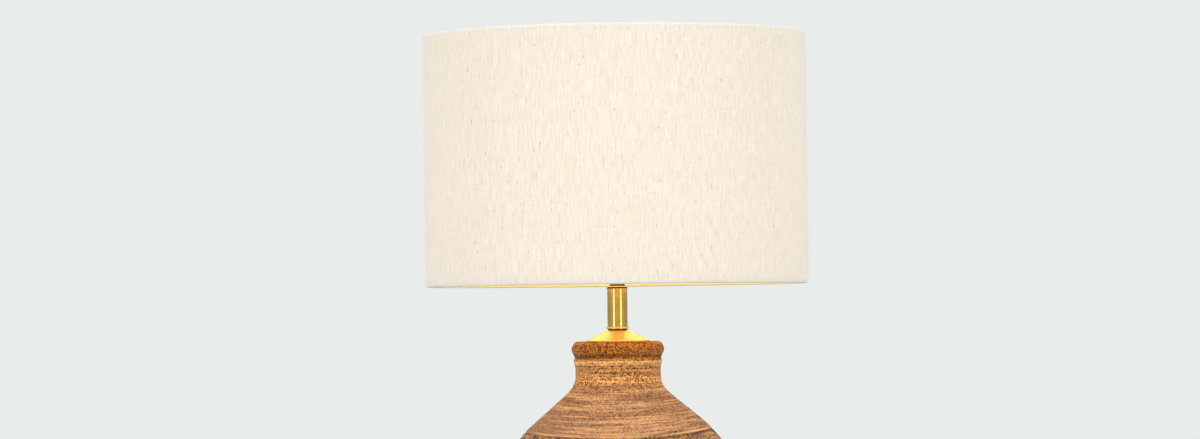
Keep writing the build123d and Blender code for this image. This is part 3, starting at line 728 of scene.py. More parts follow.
def bare_clay(tree, height, band, streaks, grain):
    """Clay between a dark and a light tone of its zone, in streaks or, where it is sandy, in grains."""
    lip, neck = above(tree, height, LIP_ENDS), above(tree, height, NECK_ENDS)
    dark, light = tone(90, 51, 30), tone(208, 164, 123)
    for mask, darker, lighter in (
        (neck, tone(64, 17, 0), tone(255, 192, 120)),
        (lip, tone(46, 12, 0), tone(197, 124, 42)),
        (band, tone(50, 31, 24), tone(234, 176, 122)),
    ):
        dark, light = blend_of(tree, mask, dark, darker), blend_of(tree, mask, light, lighter)
    sandy = mix_of(tree, math_of(tree, "MAXIMUM", neck, band), 0.42, 0.66)
    share = mix_of(tree, sandy, ramp_of(tree, streaks, 0.38, 0.62), grain)
    return blend_of(tree, share, dark, light)


def ash_mask(tree, place, height, streaks):
    """Where ash has run into the throwing lines, most of all at the top of the shoulder."""
    runs = noise_of(tree, stretched(tree, place, 7.0, 190.0), 1.0, 4.0, 0.62)
    ash = times(tree, ramp_of(tree, runs, 0.5, 0.6), ramp_of(tree, streaks, 0.44, 0.54))
    greyest = times(tree, zone(tree, height, GREYEST_ZONE, 0.006), 0.4)
    share = times(tree, zone(tree, height, ASH_ZONE, 0.006), plus(tree, greyest, 0.55))
    return times(tree, ash, share)


def bead_mask(tree, level, grain):
    """A pale line along the bead and a fainter pale band below it, less pale on the darker grains."""
    bead = times(tree, zone(tree, level, BEAD_ZONE, 0.0008), 0.9)
    worn = times(tree, zone(tree, level, PALE_BAND_ZONE, 0.0009), 0.3)
    bead = math_of(tree, "MAXIMUM", bead, worn)
    return times(tree, bead, ramp_of(tree, grain, 0.0, 0.7, 0.55, 1.0))


# %% [markdown]
# ## Stoneware finish
# The finish is built in layers, much as the pot was made: bare clay first, then the ash, then what wear
# and fire did to each zone, with painted shade in the groove and under the ridge and a painted highlight
# along the ridge's edge, and last the single grains of pale sand and dark iron. A list of masks and
# colours, lowest layer first, is easier to follow than a long chain of nodes. Streaks and grit also go
# into a bump, and the grit makes the gloss of the clay uneven.


# %% Stoneware finish
def stoneware_finish():
    """Gritty thrown clay with ash streaks, a rough dark band and a bare foot."""
    material, tree, shader, own = new_finish("stoneware", Specular_IOR_Level=0.2)
    level, place = wheel_level(tree, own)
    waver = math_of(tree, "SUBTRACT", noise_of(tree, own, 9.0), 0.5)
    height = plus(tree, level, times(tree, waver, 0.003))
    streaks = noise_of(tree, stretched(tree, place, 16.0, 620.0), 1.0, 5.0, 0.66)
    coarse_grit = noise_of(tree, own, 260.0, 3.0, 0.65)
    grit, grain = clay_grain(tree, own)
    band = zone(tree, height, BAND_ZONE, 0.0008)
    foot_top = FOOT_Z + FOOT_HEIGHT

    # the painted highlight along the ridge's edge comes and goes with this noise
    highlight_breaks = ramp_of(tree, noise_of(tree, own, 34.0, 3.0), 0.4, 0.62, 0.1, 0.7)
    patches = noise_of(tree, stretched(tree, own, 42.0, 85.0), 1.0, 5.0, 0.68)
    slate = times(tree, ramp_of(tree, patches, 0.5, 0.58), band)
    clay = painted(
        tree, bare_clay(tree, height, band, streaks, grain),
        (ash_mask(tree, place, height, streaks), tone(84, 62, 64)),
        (bead_mask(tree, level, grain), tone(244, 204, 140)),
        # painted shade in the groove under the lip
        (times(tree, zone(tree, height, GROOVE_SHADE_ZONE, 0.0012), 0.55), tone(62, 26, 8)),
        (times(tree, zone(tree, height, THROAT_ZONE, 0.003), 0.28), tone(100, 32, 2)),
        # painted highlight along the ridge's edge
        (times(tree, zone(tree, level, RIDGE_HIGHLIGHT_ZONE, 0.0006), highlight_breaks), tone(226, 180, 118)),
        (times(tree, slate, 0.85), tone(62, 57, 68)),
        (times(tree, zone(tree, level, SHADOW_ZONE, 0.0008), 0.55), tone(84, 52, 42)),
        (ramp_of(tree, height, foot_top, foot_top + FOOT_FADE, 0.6, 0.0), tone(92, 60, 40)),
        (ramp_of(tree, noise_of(tree, own, 700.0, 1.0), 0.68, 0.72, 0.0, 0.7), tone(250, 204, 132)),
        (ramp_of(tree, coarse_grit, 0.66, 0.72, 0.0, 0.7), tone(54, 28, 16)),
    )
    relief = plus(tree, times(tree, streaks, 0.9), times(tree, grit, 0.8))
    relief = plus(tree, relief, times(tree, times(tree, coarse_grit, band), 1.6))
    fill(tree, shader, {
        "Base Color": clay, "Roughness": ramp_of(tree, grit, 0.3, 0.7, 0.76, 0.52),
        "Normal": bump_of(tree, relief, 0.0008),
    })
    return material


STONEWARE = stoneware_finish()
print(f"shader nodes: stoneware {len(STONEWARE.node_tree.nodes)}")

# %% [markdown]
# ## Linen: threads, flecks and hems
# The shade is oatmeal linen. Its yarn is uneven, and flecks of grey-brown husk are spun in. At the rims
# the cloth is rolled in and thicker, so the rims are painted cooler as shade, the lower fold is painted
# darker as shade, and the tuck inside is painted gold as the bulb's light on it. Each of these is a mask
# of its own. Two waves at right angles give the weave, and the noise of the yarn pushes them about,
# because even waves would look like a sieve.

# %% Linen helpers
THREADS_PER_METRE = 1500.0
WEFT_SHARE = 0.8                # weft threads, for each thread of the warp
THREAD_WANDER = 5.0             # how far, in radians, an uneven yarn pushes its neighbours
HEM_SHADE_SHOWS = 0.006               # painted shade: a hem is two cloths thick and lets less of the warm light through
FOLD_SHADE_SHOWS = 0.0012             # and its lower fold, which faces down, is painted darker as shade
FOLD_SHADE_EDGE = 0.0004
TUCK_GLOW_REACH = (0.0042, 0.0028)   # inside the wall, where the tucked-in hem is painted gold as the bulb's light on it
shade_low, shade_high = (corner.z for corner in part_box("shade_fabric"))
shade_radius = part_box("shade_fabric")[1].x
print(f"shade {2 * shade_radius:.3f} m wide and {shade_high - shade_low:.3f} m high")


def weave_of(tree, along, up, slub, weft):
    """Threads over and under each other, pushed about by thick and thin yarn."""
    turn = times(tree, along, THREADS_PER_METRE * math.tau)
    turn = plus(tree, turn, times(tree, slub, THREAD_WANDER))
    rise = times(tree, up, THREADS_PER_METRE * WEFT_SHARE * math.tau)
    rise = plus(tree, rise, times(tree, weft, THREAD_WANDER))
    return times(tree, math_of(tree, "SINE", turn), math_of(tree, "SINE", rise))


def husk_flecks(tree, flat):
    """Flecks of husk: short upright ones and specks, more in some places than in others."""
    husk = noise_of(tree, stretched(tree, flat, 850.0, 130.0), 1.0)
    specks = noise_of(tree, stretched(tree, flat, 600.0, 420.0), 1.0, 1.0)
    flecks = ramp_of(tree, husk, 0.66, 0.73, 0.0, 0.8)
    flecks = math_of(tree, "MAXIMUM", flecks, ramp_of(tree, specks, 0.76, 0.82, 0.0, 0.75))
    return times(tree, flecks, ramp_of(tree, noise_of(tree, flat, 90.0, 1.0), 0.35, 0.6, 0.3, 1.0))


def painted_hem_light(tree, own):
    """What the hems change, all painted light: rims painted cooler as shade, a tuck painted gold as the
    bulb's light, and a lower fold painted darker as shade.
    """
    level = parts_of(tree, own)["Z"]
    up = math_of(tree, "SUBTRACT", level, shade_low)
    inwards = math_of(tree, "MINIMUM", up, math_of(tree, "SUBTRACT", shade_high, level))
    deep, shallow = (shade_radius - inside for inside in TUCK_GLOW_REACH)
    return (
        # painted shade: the double cloth at both rims lets less of the bulb's light through
        (ramp_of(tree, inwards, 0.0, HEM_SHADE_SHOWS, 0.8, 0.0), tone(229, 229, 223)),
        # painted light: the tucked hem gold as the bulb lights it
        (ramp_of(tree, reach_of(tree, own), deep, shallow, 1.0, 0.0), tone(254, 232, 160)),
        # painted shade on the lower fold, which faces down
        (ramp_of(tree, up, FOLD_SHADE_EDGE, FOLD_SHADE_SHOWS, 0.6, 0.0), tone(168, 146, 120)),
    )


# %% [markdown]
# ## Linen and lining finishes
# Slubs, thick places in the yarn, make long upright streaks in the cloth, and behind it is a white
# lining sheet. Both let the bulb's light through, which takes a translucent shader mixed with the plain
# one. The pattern lies on the cloth's own map, in metres: one wrapped on from outside would stretch at
# the hems, while here the threads keep their size.

# %% Linen and lining
CLOTH_LETS_THROUGH = 0.1
LINING_LETS_THROUGH = 0.3


def see_through(material, tree, shader, colour, share):
    """Mixes light from behind into a thin sheet's finish."""
    behind = add(tree, "BsdfTranslucent", {"Color": colour})
    both = add(tree, "MixShader", {0: share, 1: shader.outputs[0], 2: behind.outputs[0]})
    fill(tree, tree.nodes["Material Output"], {"Surface": both.outputs[0]})
    return material


def linen_finish():
    """Woven linen with slubs and husk flecks."""
    material, tree, shader, own = new_finish("linen", Roughness=0.92, Sheen_Weight=0.5)
    along, up, _ = parts_of(tree, add(tree, "TexCoord").outputs["UV"])
    flat = add(tree, "CombineXYZ", {"X": along, "Z": up}).outputs[0]
    slub = noise_of(tree, stretched(tree, flat, 1050.0, 66.0), 1.0, 3.0, 0.65)
    yarn = noise_of(tree, stretched(tree, flat, 620.0, 24.0), 1.0, 3.0, 0.6)
    weft = noise_of(tree, stretched(tree, flat, 50.0, 850.0), 1.0)
    weave = weave_of(tree, along, up, slub, weft)

    pale, oat = tone(251, 243, 232), tone(229, 217, 202)
    streak = plus(tree, times(tree, slub, 0.7), times(tree, yarn, 0.3))
    colour = painted(
        tree, pale,
        (ramp_of(tree, streak, 0.37, 0.68), oat),
        (ramp_of(tree, weft, 0.54, 0.72, 0.0, 0.4), oat),
        (ramp_of(tree, noise_of(tree, flat, 22.0, 3.0), 0.4, 0.7, 0.0, 0.2), tone(242, 231, 212)),
        (ramp_of(tree, weave, -1.0, 1.0, 0.1, 0.0), tone(196, 182, 160)),
        (husk_flecks(tree, flat), tone(124, 112, 100)),
        *painted_hem_light(tree, own),
    )
    relief = plus(tree, times(tree, weave, 0.5), times(tree, slub, 1.4))
    fill(tree, shader, {"Base Color": colour, "Normal": bump_of(tree, relief, 0.00012, 0.8)})
    return see_through(material, tree, shader, colour, CLOTH_LETS_THROUGH)


def lining_finish():
    """Warm white plastic sheet that the linen is stuck to, with a faint grain."""
    material, tree, shader, place = new_finish("shade_lining", Roughness=0.5)
    mottle = ramp_of(tree, noise_of(tree, place, 35.0, 3.0), 0.35, 0.7)
    colour = blend_of(tree, mottle, tone(249, 238, 212), tone(247, 235, 206))
    grain = use_group(tree, FINE_GRAIN, Grains_per_metre=1200.0)
    fill(tree, shader, {"Base Color": colour, "Normal": bump_of(tree, grain["Height"], 0.00004)})
    return see_through(material, tree, shader, colour, LINING_LETS_THROUGH)


LINEN = linen_finish()
SHADE_LINING = lining_finish()
print(f"shader nodes: linen {len(LINEN.node_tree.nodes)}, lining {len(SHADE_LINING.node_tree.nodes)}")

# %% [markdown]
# ## A lathe
# Most of this lamp is round: it was thrown, turned or spun. So one helper works as a lathe does. It
# lays an outline of radius and height beside the axis, spins it round, rounds its sharp corners with a
# bevel and evens out the shading. Cylinders cut by Booleans could give the same shapes, but spinning
# leaves clean rows of faces.

# %% Lathe helpers
SMOOTH_UNDER = math.radians(38)     # faces that meet at less than this shade as one
HAIR = 1e-6                         # points that are closer than this count as one


def bmesh_to_piece(name, bm, finish, smooth_under=SMOOTH_UNDER):
    """Makes an object of a finished bmesh, smooth where its faces meet gently."""
    bmesh.ops.recalc_face_normals(bm, faces=bm.faces)
    mesh = bpy.data.meshes.new(name)
    bm.to_mesh(mesh)
    bm.free()
    mesh.shade_smooth()
    mesh.set_sharp_from_angle(angle=smooth_under)
    mesh.materials.append(finish)
    piece = bpy.data.objects.new(name, mesh)
    scene.collection.objects.link(piece)
    return piece


def spin_outline(bm, outline, segments, closed=True, turns=1.0, full=True):
    """Lays an outline of (radius, height) beside the axis and spins it, all the way or by a part."""
    verts = [bm.verts.new((radius, 0.0, height)) for radius, height in outline]
    ends = verts[1:] + verts[:1] if closed else verts[1:]
    edges = [bm.edges.new(pair) for pair in zip(verts, ends)]
    bmesh.ops.spin(
        bm, geom=verts + edges, cent=(0, 0, 0), axis=(0, 0, 1), angle=math.tau * turns,
        steps=max(4, round(segments * turns)), use_merge=full, use_duplicate=False,
    )
    bmesh.ops.remove_doubles(bm, verts=bm.verts, dist=HAIR)


def round_corners(bm, width, sharper_than=math.radians(30)):
    """Bevels the edges where two faces meet at a corner."""
    bmesh.ops.recalc_face_normals(bm, faces=bm.faces)
    corners = [e for e in bm.edges if e.is_manifold and e.calc_face_angle() > sharper_than]
    bmesh.ops.bevel(
        bm, geom=corners, offset=width, offset_type="OFFSET", affect="EDGES", segments=2,
        profile=0.5, material=-1, clamp_overlap=True,
    )


def turned(name, outline, finish, corner=0.0002, segments=96):
    """A piece turned on the lathe."""
    bm = bmesh.new()
    spin_outline(bm, outline, segments)
    if corner:
        round_corners(bm, corner)
    piece = bmesh_to_piece(name, bm, finish)
    piece.modifiers.new("even shading", "WEIGHTED_NORMAL").keep_sharp = True
    return piece


# %% [markdown]
# ## Placing pieces
# A finer piece has to sit exactly where its solid sits, move with the same body and stand in for it.
# Sizes could be typed in again, but read from the node's own box they follow the solid model. Several
# pieces are nothing but a flat ring, so one helper turns and places such a ring in one go.


# %% Placing helpers
def place_piece(piece, body, slot, *stands_for):
    """Rides a piece on its body, in place of its nodes."""
    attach(piece, body)
    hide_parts(*stands_for)
    print(f"{piece.name}: {len(piece.data.polygons)} faces on {body}")


def radius_of(node):
    """Outer radius of a round node about the lamp's axis."""
    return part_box(node)[1].x


def levels_of(node):
    """Lowest and highest level of a node."""
    low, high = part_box(node)
    return low.z, high.z


def ring_outline(hole, radius, low, high):
    """Outline of a plain ring."""
    return [(hole, low), (radius, low), (radius, high), (hole, high)]


def plain_ring(name, node, hole, finish, slot, corner, segments=96):
    """A turned ring as wide and as high as its node, in its place on the stand."""
    outline = ring_outline(hole, radius_of(node), *levels_of(node))
    place_piece(turned(name, outline, finish, corner, segments), "stand", slot, node)


print(f"the vessel is {2 * radius_of('ceramic_body'):.3f} m wide")


# %% [markdown]
# ## Curves of an outline
# An outline needs few points where it is straight and many where it is round. Four helpers draw the
# round stretches: an arc, a smooth run through given points, an arc that stands upright at its widest
# point, as a thrown belly does, and the fillet of a corner. The last one cuts an outline fine, so that
# its points can be moved a little afterwards.


# %% Outline curves
def arc(centre, radius, start, stop, steps):
    """Points of an arc in the outline's plane, from one angle in degrees to another."""
    angles = [math.radians(start + (stop - start) * i / steps) for i in range(steps + 1)]
    return [(centre[0] + radius * math.cos(a), centre[1] + radius * math.sin(a)) for a in angles]


def smooth_run(points, steps):
    """A smooth curve through (radius, height) points that starts level and ends upright."""
    flat = [Vector((r, z, 0.0)) for r, z in points]
    last = len(flat) - 1
    leans = [(flat[min(i + 1, last)] - flat[max(i - 1, 0)]) / 6 for i in range(last + 1)]
    leans[0] = Vector(((flat[1].x - flat[0].x) / 1.8, 0.0, 0.0))
    leans[last] = Vector((0.0, (flat[last].y - flat[last - 1].y) / 3, 0.0))
    run = []
    for i in range(last):
        knots = (flat[i], flat[i] + leans[i], flat[i + 1] - leans[i + 1], flat[i + 1])
        run += [(p.x, p.y) for p in geometry.interpolate_bezier(*knots, steps)][:-1]
    return run + [points[-1]]


def belly_curve(wide_radius, end_radius, rise):
    """Radius of the arc that is upright where it is widest and ends after a rise."""
    reach = wide_radius - end_radius
    return (reach**2 + rise**2) / (2 * reach)


def upright_arc(wide_radius, wide_z, end_radius, end_z, steps):
    """Points of an arc that is upright at its widest point and passes through an end."""
    rise = end_z - wide_z
    radius = belly_curve(wide_radius, end_radius, rise)
    end_angle = math.degrees(math.atan2(rise, end_radius - wide_radius + radius))
    return arc((wide_radius - radius, wide_z), radius, 0.0, end_angle, steps)


def rounded_corner(before, corner, after, radius, steps):
    """Points of the fillet between two straight stretches of an outline."""
    corner_at = Vector(corner)
    into, out = (Vector(before) - corner_at).normalized(), (Vector(after) - corner_at).normalized()
    half = into.angle(out) / 2
    centre = corner_at + (into + out).normalized() * (radius / math.sin(half))
    first = corner_at + into * (radius / math.tan(half)) - centre
    last = corner_at + out * (radius / math.tan(half)) - centre
    start, sweep = math.degrees(math.atan2(first.y, first.x)), math.degrees(first.angle_signed(last))
    return arc(centre, radius, start, start - sweep, steps)


def cut_fine(points, step):
    """Adds points along an outline so that none are further apart than a step."""
    fine = []
    for (r0, z0), (r1, z1) in zip(points, points[1:]):
        count = max(1, math.ceil(math.hypot(r1 - r0, z1 - z0) / step))
        fine += [(r0 + (r1 - r0) * i / count, z0 + (z1 - z0) * i / count) for i in range(count)]
    return fine + [points[-1]]


# %% [markdown]
# ## Vessel: outside
# The pot is one hollow piece, so its outline goes all the way round. This half runs down the outside,
# from the rolled lip over neck, shoulder, ridge and belly to the foot. It could be traced point by
# point, but a few long curves between measured places are smoother and easy to change.

# %% Vessel outside
MOUTH_RADIUS = 0.024
LIP_FLAT_RADIUS = 0.0426
LIP_RADIUS = 0.0484
LIP_BULGE_DROP = 0.0078
GROOVE_RADIUS = 0.0453
GROOVE_DROP = 0.0162
BEAD_RADIUS = 0.0462
BEAD_DROP = 0.0208
NECK_RADIUS = 0.0446
SHOULDER_DROP = 0.0457
SHOULDER_FILLET = 0.024
RIDGE_HEIGHT = 0.0018
RIDGE_UNDERCUT = 0.0003
BELLY_RADIUS = radius_of("ceramic_body")
BELLY_DROP = 0.178
RING_BEAD = 0.0022
FOOT_RADIUS = 0.072
FOOT_SHOULDER = 0.002
FOOT_CHAMFER = 0.0012
ridge_z = LIP_Z - RIDGE_DROP
belly_z = LIP_Z - BELLY_DROP


def vessel_outside():
    """Outline of the outside, from the flat of the lip down to the foot."""
    ring_z = LIP_Z - RING_DROP
    neck_end, shoulder = (NECK_RADIUS, LIP_Z - NECK_DROP), (NECK_RADIUS, LIP_Z - SHOULDER_DROP)
    ridge = (RIDGE_RADIUS, ridge_z)
    band_start = (RIDGE_RADIUS - RIDGE_UNDERCUT, ridge_z - RIDGE_HEIGHT)
    foot_start = (FOOT_RADIUS + FOOT_SHOULDER, FOOT_Z + FOOT_HEIGHT)
    lip = [
        (LIP_FLAT_RADIUS, LIP_Z), (LIP_RADIUS, LIP_Z - LIP_BULGE_DROP),
        (GROOVE_RADIUS, LIP_Z - GROOVE_DROP), (BEAD_RADIUS, LIP_Z - BEAD_DROP), neck_end,
    ]
    upper = upright_arc(BELLY_RADIUS, belly_z, *band_start, 40)[::-1]
    lower = upright_arc(BELLY_RADIUS, belly_z, *foot_start, 60)[1:]
    at = min(lower, key=lambda p: abs(p[1] - ring_z))
    bead = arc((at[0], ring_z), RING_BEAD, 75, -105, 10)
    fillet = rounded_corner(neck_end, shoulder, ridge, SHOULDER_FILLET, 24)
    return [
        (MOUTH_RADIUS, LIP_Z), *smooth_run(lip, 14), *fillet, ridge, *upper,
        *(p for p in lower if p[1] > ring_z + RING_BEAD), *bead,
        *(p for p in lower if p[1] < ring_z - RING_BEAD),
        (FOOT_RADIUS, FOOT_Z + FOOT_HEIGHT), (FOOT_RADIUS, FOOT_Z + FOOT_CHAMFER),
        (FOOT_RADIUS - FOOT_CHAMFER, FOOT_Z),
    ]


print(f"vessel outside: {len(vessel_outside())} points")

# %% [markdown]
# ## Vessel: inside
# The other half goes through the hollow of the foot and up the inside. Solidify could make the wall
# from the outside alone, but only in one thickness, and a pot is thicker at its floor and its lip. A
# closed outline spun round gives a wall with its real thickness everywhere.

# %% Vessel inside
FOOT_WALL = 0.014
RECESS_DEPTH = 0.016
FLOOR_THICKNESS = 0.009
VESSEL_WALL = 0.007
INNER_FLOOR_RADIUS = 0.078
INNER_SHOULDER_RADIUS = 0.0937  # where the belly's inside meets the shoulder's
INNER_SHOULDER_DROP = 0.1024
INNER_NECK_DROP = 0.0487
LIP_THICKNESS = 0.009
ROD_PASSAGE = 0.0052


def vessel_inside():
    """Outline of the hollow foot and the inside, from the foot's edge up to the mouth."""
    inner, recess_z = FOOT_RADIUS - FOOT_WALL, FOOT_Z + RECESS_DEPTH
    floor_z = recess_z + FLOOR_THICKNESS
    belly, neck = BELLY_RADIUS - VESSEL_WALL, NECK_RADIUS - VESSEL_WALL
    low = upright_arc(belly, belly_z, INNER_FLOOR_RADIUS, floor_z, 14)[::-1]
    high = upright_arc(belly, belly_z, INNER_SHOULDER_RADIUS, LIP_Z - INNER_SHOULDER_DROP, 10)[1:]
    return [
        (inner + FOOT_CHAMFER, FOOT_Z), (inner, FOOT_Z + FOOT_CHAMFER), (inner, recess_z),
        (ROD_PASSAGE, recess_z), (ROD_PASSAGE, floor_z), *low, *high,
        (neck, LIP_Z - INNER_NECK_DROP), (neck, LIP_Z - LIP_THICKNESS),
        (MOUTH_RADIUS, LIP_Z - LIP_THICKNESS),
    ]


print(f"vessel inside: {len(vessel_inside())} points")

# %% [markdown]
# ## Throwing marks
# The pot was thrown on a wheel, and it shows: fingers left fine level ridges all the way up, never
# quite even. A bump map alone would leave the outline dead straight, so the outline is cut fine and
# every point is moved by a noise that hardly changes around the pot but quickly with height. Below the
# shoulder ridge the clay was left rough, so there the noise is coarse and deeper.

# %% Throwing marks
THROWING_DEPTH = 0.00022
WANDER_DEPTH = 0.0005
ROUGH_DEPTH = 0.0007
BAND_STARTS = (0.003, 0.008)    # above the lower ring, where the rough band fades in
BAND_STOPS = (-0.002, 0.001)    # about the foot of the ridge, where it fades out
MARKS_START = (0.001, 0.01)     # above the foot, which was trimmed smooth


def fade(value, low, high):
    """Goes smoothly from 0 to 1 as the value passes from low to high."""
    share = min(1.0, max(0.0, (value - low) / (high - low)))
    return share * share * (3 - 2 * share)


def squeezed(point, across, upright):
    """A point scaled so that a noise on it is drawn out around the pot."""
    return Vector((point.x * across, point.y * across, point.z * upright))


def throwing_marks(point):
    """How far the potter's hands left this point of the wall in or out."""
    marks = noise.fractal(squeezed(point, 9, 330), 0.6, 2.2, 4)
    wander = noise.noise(squeezed(point, 8, 26))
    rough = noise.fractal(squeezed(point, 120, 190), 0.7, 2.1, 3)
    band_low, band_high, foot_top = LIP_Z - RING_DROP, ridge_z - RIDGE_HEIGHT, FOOT_Z + FOOT_HEIGHT
    band = fade(point.z, band_low + BAND_STARTS[0], band_low + BAND_STARTS[1])
    band *= 1 - fade(point.z, band_high + BAND_STOPS[0], band_high + BAND_STOPS[1])
    foot = fade(point.z, foot_top + MARKS_START[0], foot_top + MARKS_START[1])
    return (THROWING_DEPTH * marks + WANDER_DEPTH * wander + ROUGH_DEPTH * band * rough) * foot


front_mark = throwing_marks(Vector((0.0, -BELLY_RADIUS, belly_z)))
print(f"at the front of the belly the mark is {front_mark * 1000:.2f} mm")

# %% [markdown]
# ## Vessel
# The ridge of the shoulder was trimmed by hand: it dips at the front and the back and leans a little.
# Spinning can only make level rings, so the wall near the ridge is moved afterwards, and a point that
# slides down the wall also moves out or in, to stay on it. Then the marks are added along the normals.

# %% Vessel
RIDGE_PULL = 0.0008             # the ridge's edge is worn back
RIDGE_WEAR = 0.002              # the wear starts this far below the ridge
RIDGE_SPREAD = 0.05             # how far down the wall gives way to the hand-trimmed ridge
SHOULDER_SLOPE = 0.45           # how fast the shoulder widens as the ridge dips
LIP_EASE = 0.003                # the marks fade out over this on the flat of the lip
LIP_TOP = 0.001                 # and this far down a point still counts as on the lip
VESSEL_STEP = 0.0006            # between points up the outline, doubled below the ridge
VESSEL_SEGMENTS = 168


def upper_wall(level):
    """Radius of the wall between the belly and the ridge, at a level."""
    radius = belly_curve(BELLY_RADIUS, RIDGE_RADIUS - RIDGE_UNDERCUT, ridge_z - RIDGE_HEIGHT - belly_z)
    return BELLY_RADIUS - radius + math.sqrt(radius**2 - (level - belly_z) ** 2)


def trim_ridge(point):
    """Moves a point of the wall with the ridge, which the potter trimmed by hand, not quite level."""
    reach = math.hypot(point.x, point.y)
    share = fade(point.z, ridge_z - RIDGE_SPREAD, ridge_z - RIDGE_HEIGHT)
    share *= 1 - fade(point.z, ridge_z, LIP_Z - SHOULDER_DROP)
    slide = (RIDGE_DIP + RIDGE_LIFT) * (point.y / reach) ** 2 * share
    lift = (RIDGE_LIFT + RIDGE_TILT * point.x / reach) * share
    if point.z <= ridge_z:
        wall = upper_wall(point.z - slide) - upper_wall(point.z)
    else:
        wall = SHOULDER_SLOPE * slide
    wall -= RIDGE_PULL * share * fade(point.z, ridge_z - RIDGE_HEIGHT - RIDGE_WEAR, ridge_z)
    point.x *= 1 + wall / reach
    point.y *= 1 + wall / reach
    point.z += lift - slide


def make_vessel():
    """The stoneware vessel, with its marks and its hollow foot."""
    outside = vessel_outside()
    ridge_at = next(i for i, (_, z) in enumerate(outside) if z < ridge_z - RIDGE_HEIGHT)
    upper, lower = outside[:ridge_at], outside[ridge_at - 1:]
    fine = cut_fine(upper, VESSEL_STEP)[:-1] + cut_fine(lower, 2 * VESSEL_STEP)
    bm = bmesh.new()
    spin_outline(bm, fine + vessel_inside(), VESSEL_SEGMENTS)
    bmesh.ops.recalc_face_normals(bm, faces=bm.faces)
    bm.normal_update()
    lip_start = LIP_FLAT_RADIUS - LIP_EASE
    for vert in bm.verts:
        reach = math.hypot(vert.co.x, vert.co.y)
        outward = vert.normal.x * vert.co.x + vert.normal.y * vert.co.y > 0
        if reach > lip_start and (outward or vert.co.z > LIP_Z - LIP_TOP):
            out = vert.normal * (throwing_marks(vert.co) * fade(reach, lip_start, LIP_FLAT_RADIUS))
            if belly_z < vert.co.z < LIP_Z - SHOULDER_DROP:
                trim_ridge(vert.co)
            vert.co += out
    return bmesh_to_piece("stoneware_vessel", bm, STONEWARE, math.radians(50))


vessel = make_vessel()
place_piece(vessel, "stand", "stoneware", "ceramic_body")

# %% [markdown]
# ## Cutting
# Some turned pieces need a slot or a hole. A Boolean cuts it, and it could stay on the piece as a
# modifier, but then the cutter would have to stay in the scene too. So Blender works it out at once and
# the cutter is thrown away. What is made about the upright axis can be laid back for a hole at the rear.


# %% Cutting
def cut_away(piece, cutter_bm):
    """Cuts a closed shape out of a piece, for good."""
    bmesh.ops.recalc_face_normals(cutter_bm, faces=cutter_bm.faces)
    cutter_mesh = bpy.data.meshes.new("cutter")
    cutter_bm.to_mesh(cutter_mesh)
    cutter_bm.free()
    cutter = bpy.data.objects.new("cutter", cutter_mesh)
    scene.collection.objects.link(cutter)
    others = list(piece.modifiers)
    cut = piece.modifiers.new("cut", "BOOLEAN")
    cut.operation, cut.solver, cut.object = "DIFFERENCE", "MANIFOLD", cutter
    for modifier in others:
        modifier.show_viewport = False
    depsgraph = bpy.context.evaluated_depsgraph_get()
    done, before = bpy.data.meshes.new_from_object(piece.evaluated_get(depsgraph)), piece.data
    piece.modifiers.remove(cut)
    for modifier in others:
        modifier.show_viewport = True
    name = before.name
    piece.data = done
    bpy.data.meshes.remove(before)
    bpy.data.objects.remove(cutter)
    bpy.data.meshes.remove(cutter_mesh)
    done.name = name
    done.set_sharp_from_angle(angle=SMOOTH_UNDER)
    print(f"cut {name}: {len(done.polygons)} faces")


def lay_back(bm, level):
    """Turns what was made about the upright axis to lie along +Y, at a level."""
    turn = Matrix.Rotation(-math.pi / 2, 3, "X")
    bmesh.ops.rotate(bm, verts=bm.verts, cent=(0, 0, 0), matrix=turn)
    bmesh.ops.translate(bm, verts=bm.verts, vec=(0, 0, level))


# %% [markdown]
# ## Threading
# A thread climbs one pitch in a turn. A Screw modifier could wind one as a coil, but its ends would have
# to be closed by hand. Here it is pressed into a finely stepped wall: each point moves in by a wave that
# climbs with its angle and fades out at both ends. The crests keep the radius of the solid model, so
# nothing that screws together touches.


# %% Threading
def press_thread(bm, low, high, pitch, depth, beyond):
    """Presses a round thread into the walls that lie beyond a radius, between two levels."""
    for vert in bm.verts:
        reach = math.hypot(vert.co.x, vert.co.y)
        if low <= vert.co.z <= high and reach > beyond:
            turn = math.atan2(vert.co.y, vert.co.x) / math.tau
            wave = 0.5 - 0.5 * math.cos(math.tau * (vert.co.z / pitch - turn))
            ease = fade(vert.co.z, low, low + pitch) * (1 - fade(vert.co.z, high - pitch, high))
            share = 1 - depth * wave * ease / reach
            vert.co.x *= share
            vert.co.y *= share


def threaded(name, outline, finish, low, high, pitch, depth, beyond, corner=0.0):
    """A turned piece with a thread between two levels."""
    bm = bmesh.new()
    spin_outline(bm, cut_fine(outline + outline[:1], pitch / 7)[:-1], 72)
    if corner:
        round_corners(bm, corner)
    press_thread(bm, low, high, pitch, depth, beyond)
    return bmesh_to_piece(name, bm, finish)


# %% [markdown]
# ## Foot: cork and lead inlet
# Under the vessel is a ring of cork that spares the table. At the back a hole with a flat spot is
# drilled through the foot, and a rubber grommet with a barbed body sits in it, where the lead would
# come in. Hole and grommet are turned upright and then laid back, so both share one axis.

# %% Cork and grommet
PAD_HOLE = 0.060
INLET_LEVEL = 0.0115
INLET_RADIUS = 0.0054
INLET_ENDS = (0.05, 0.085)      # the cutter reaches from the foot's hollow to the open air
SPOT_RADIUS = 0.007
SPOT_FACE = 0.0714              # distance from the axis where the grommet's flange sits
GROMMET_BORE = 0.0036
GROMMET_BODY = 0.0052
GROMMET_BARB = 0.0061
BARB_LENGTH = 0.002
FLANGE_RADIUS = 0.0068

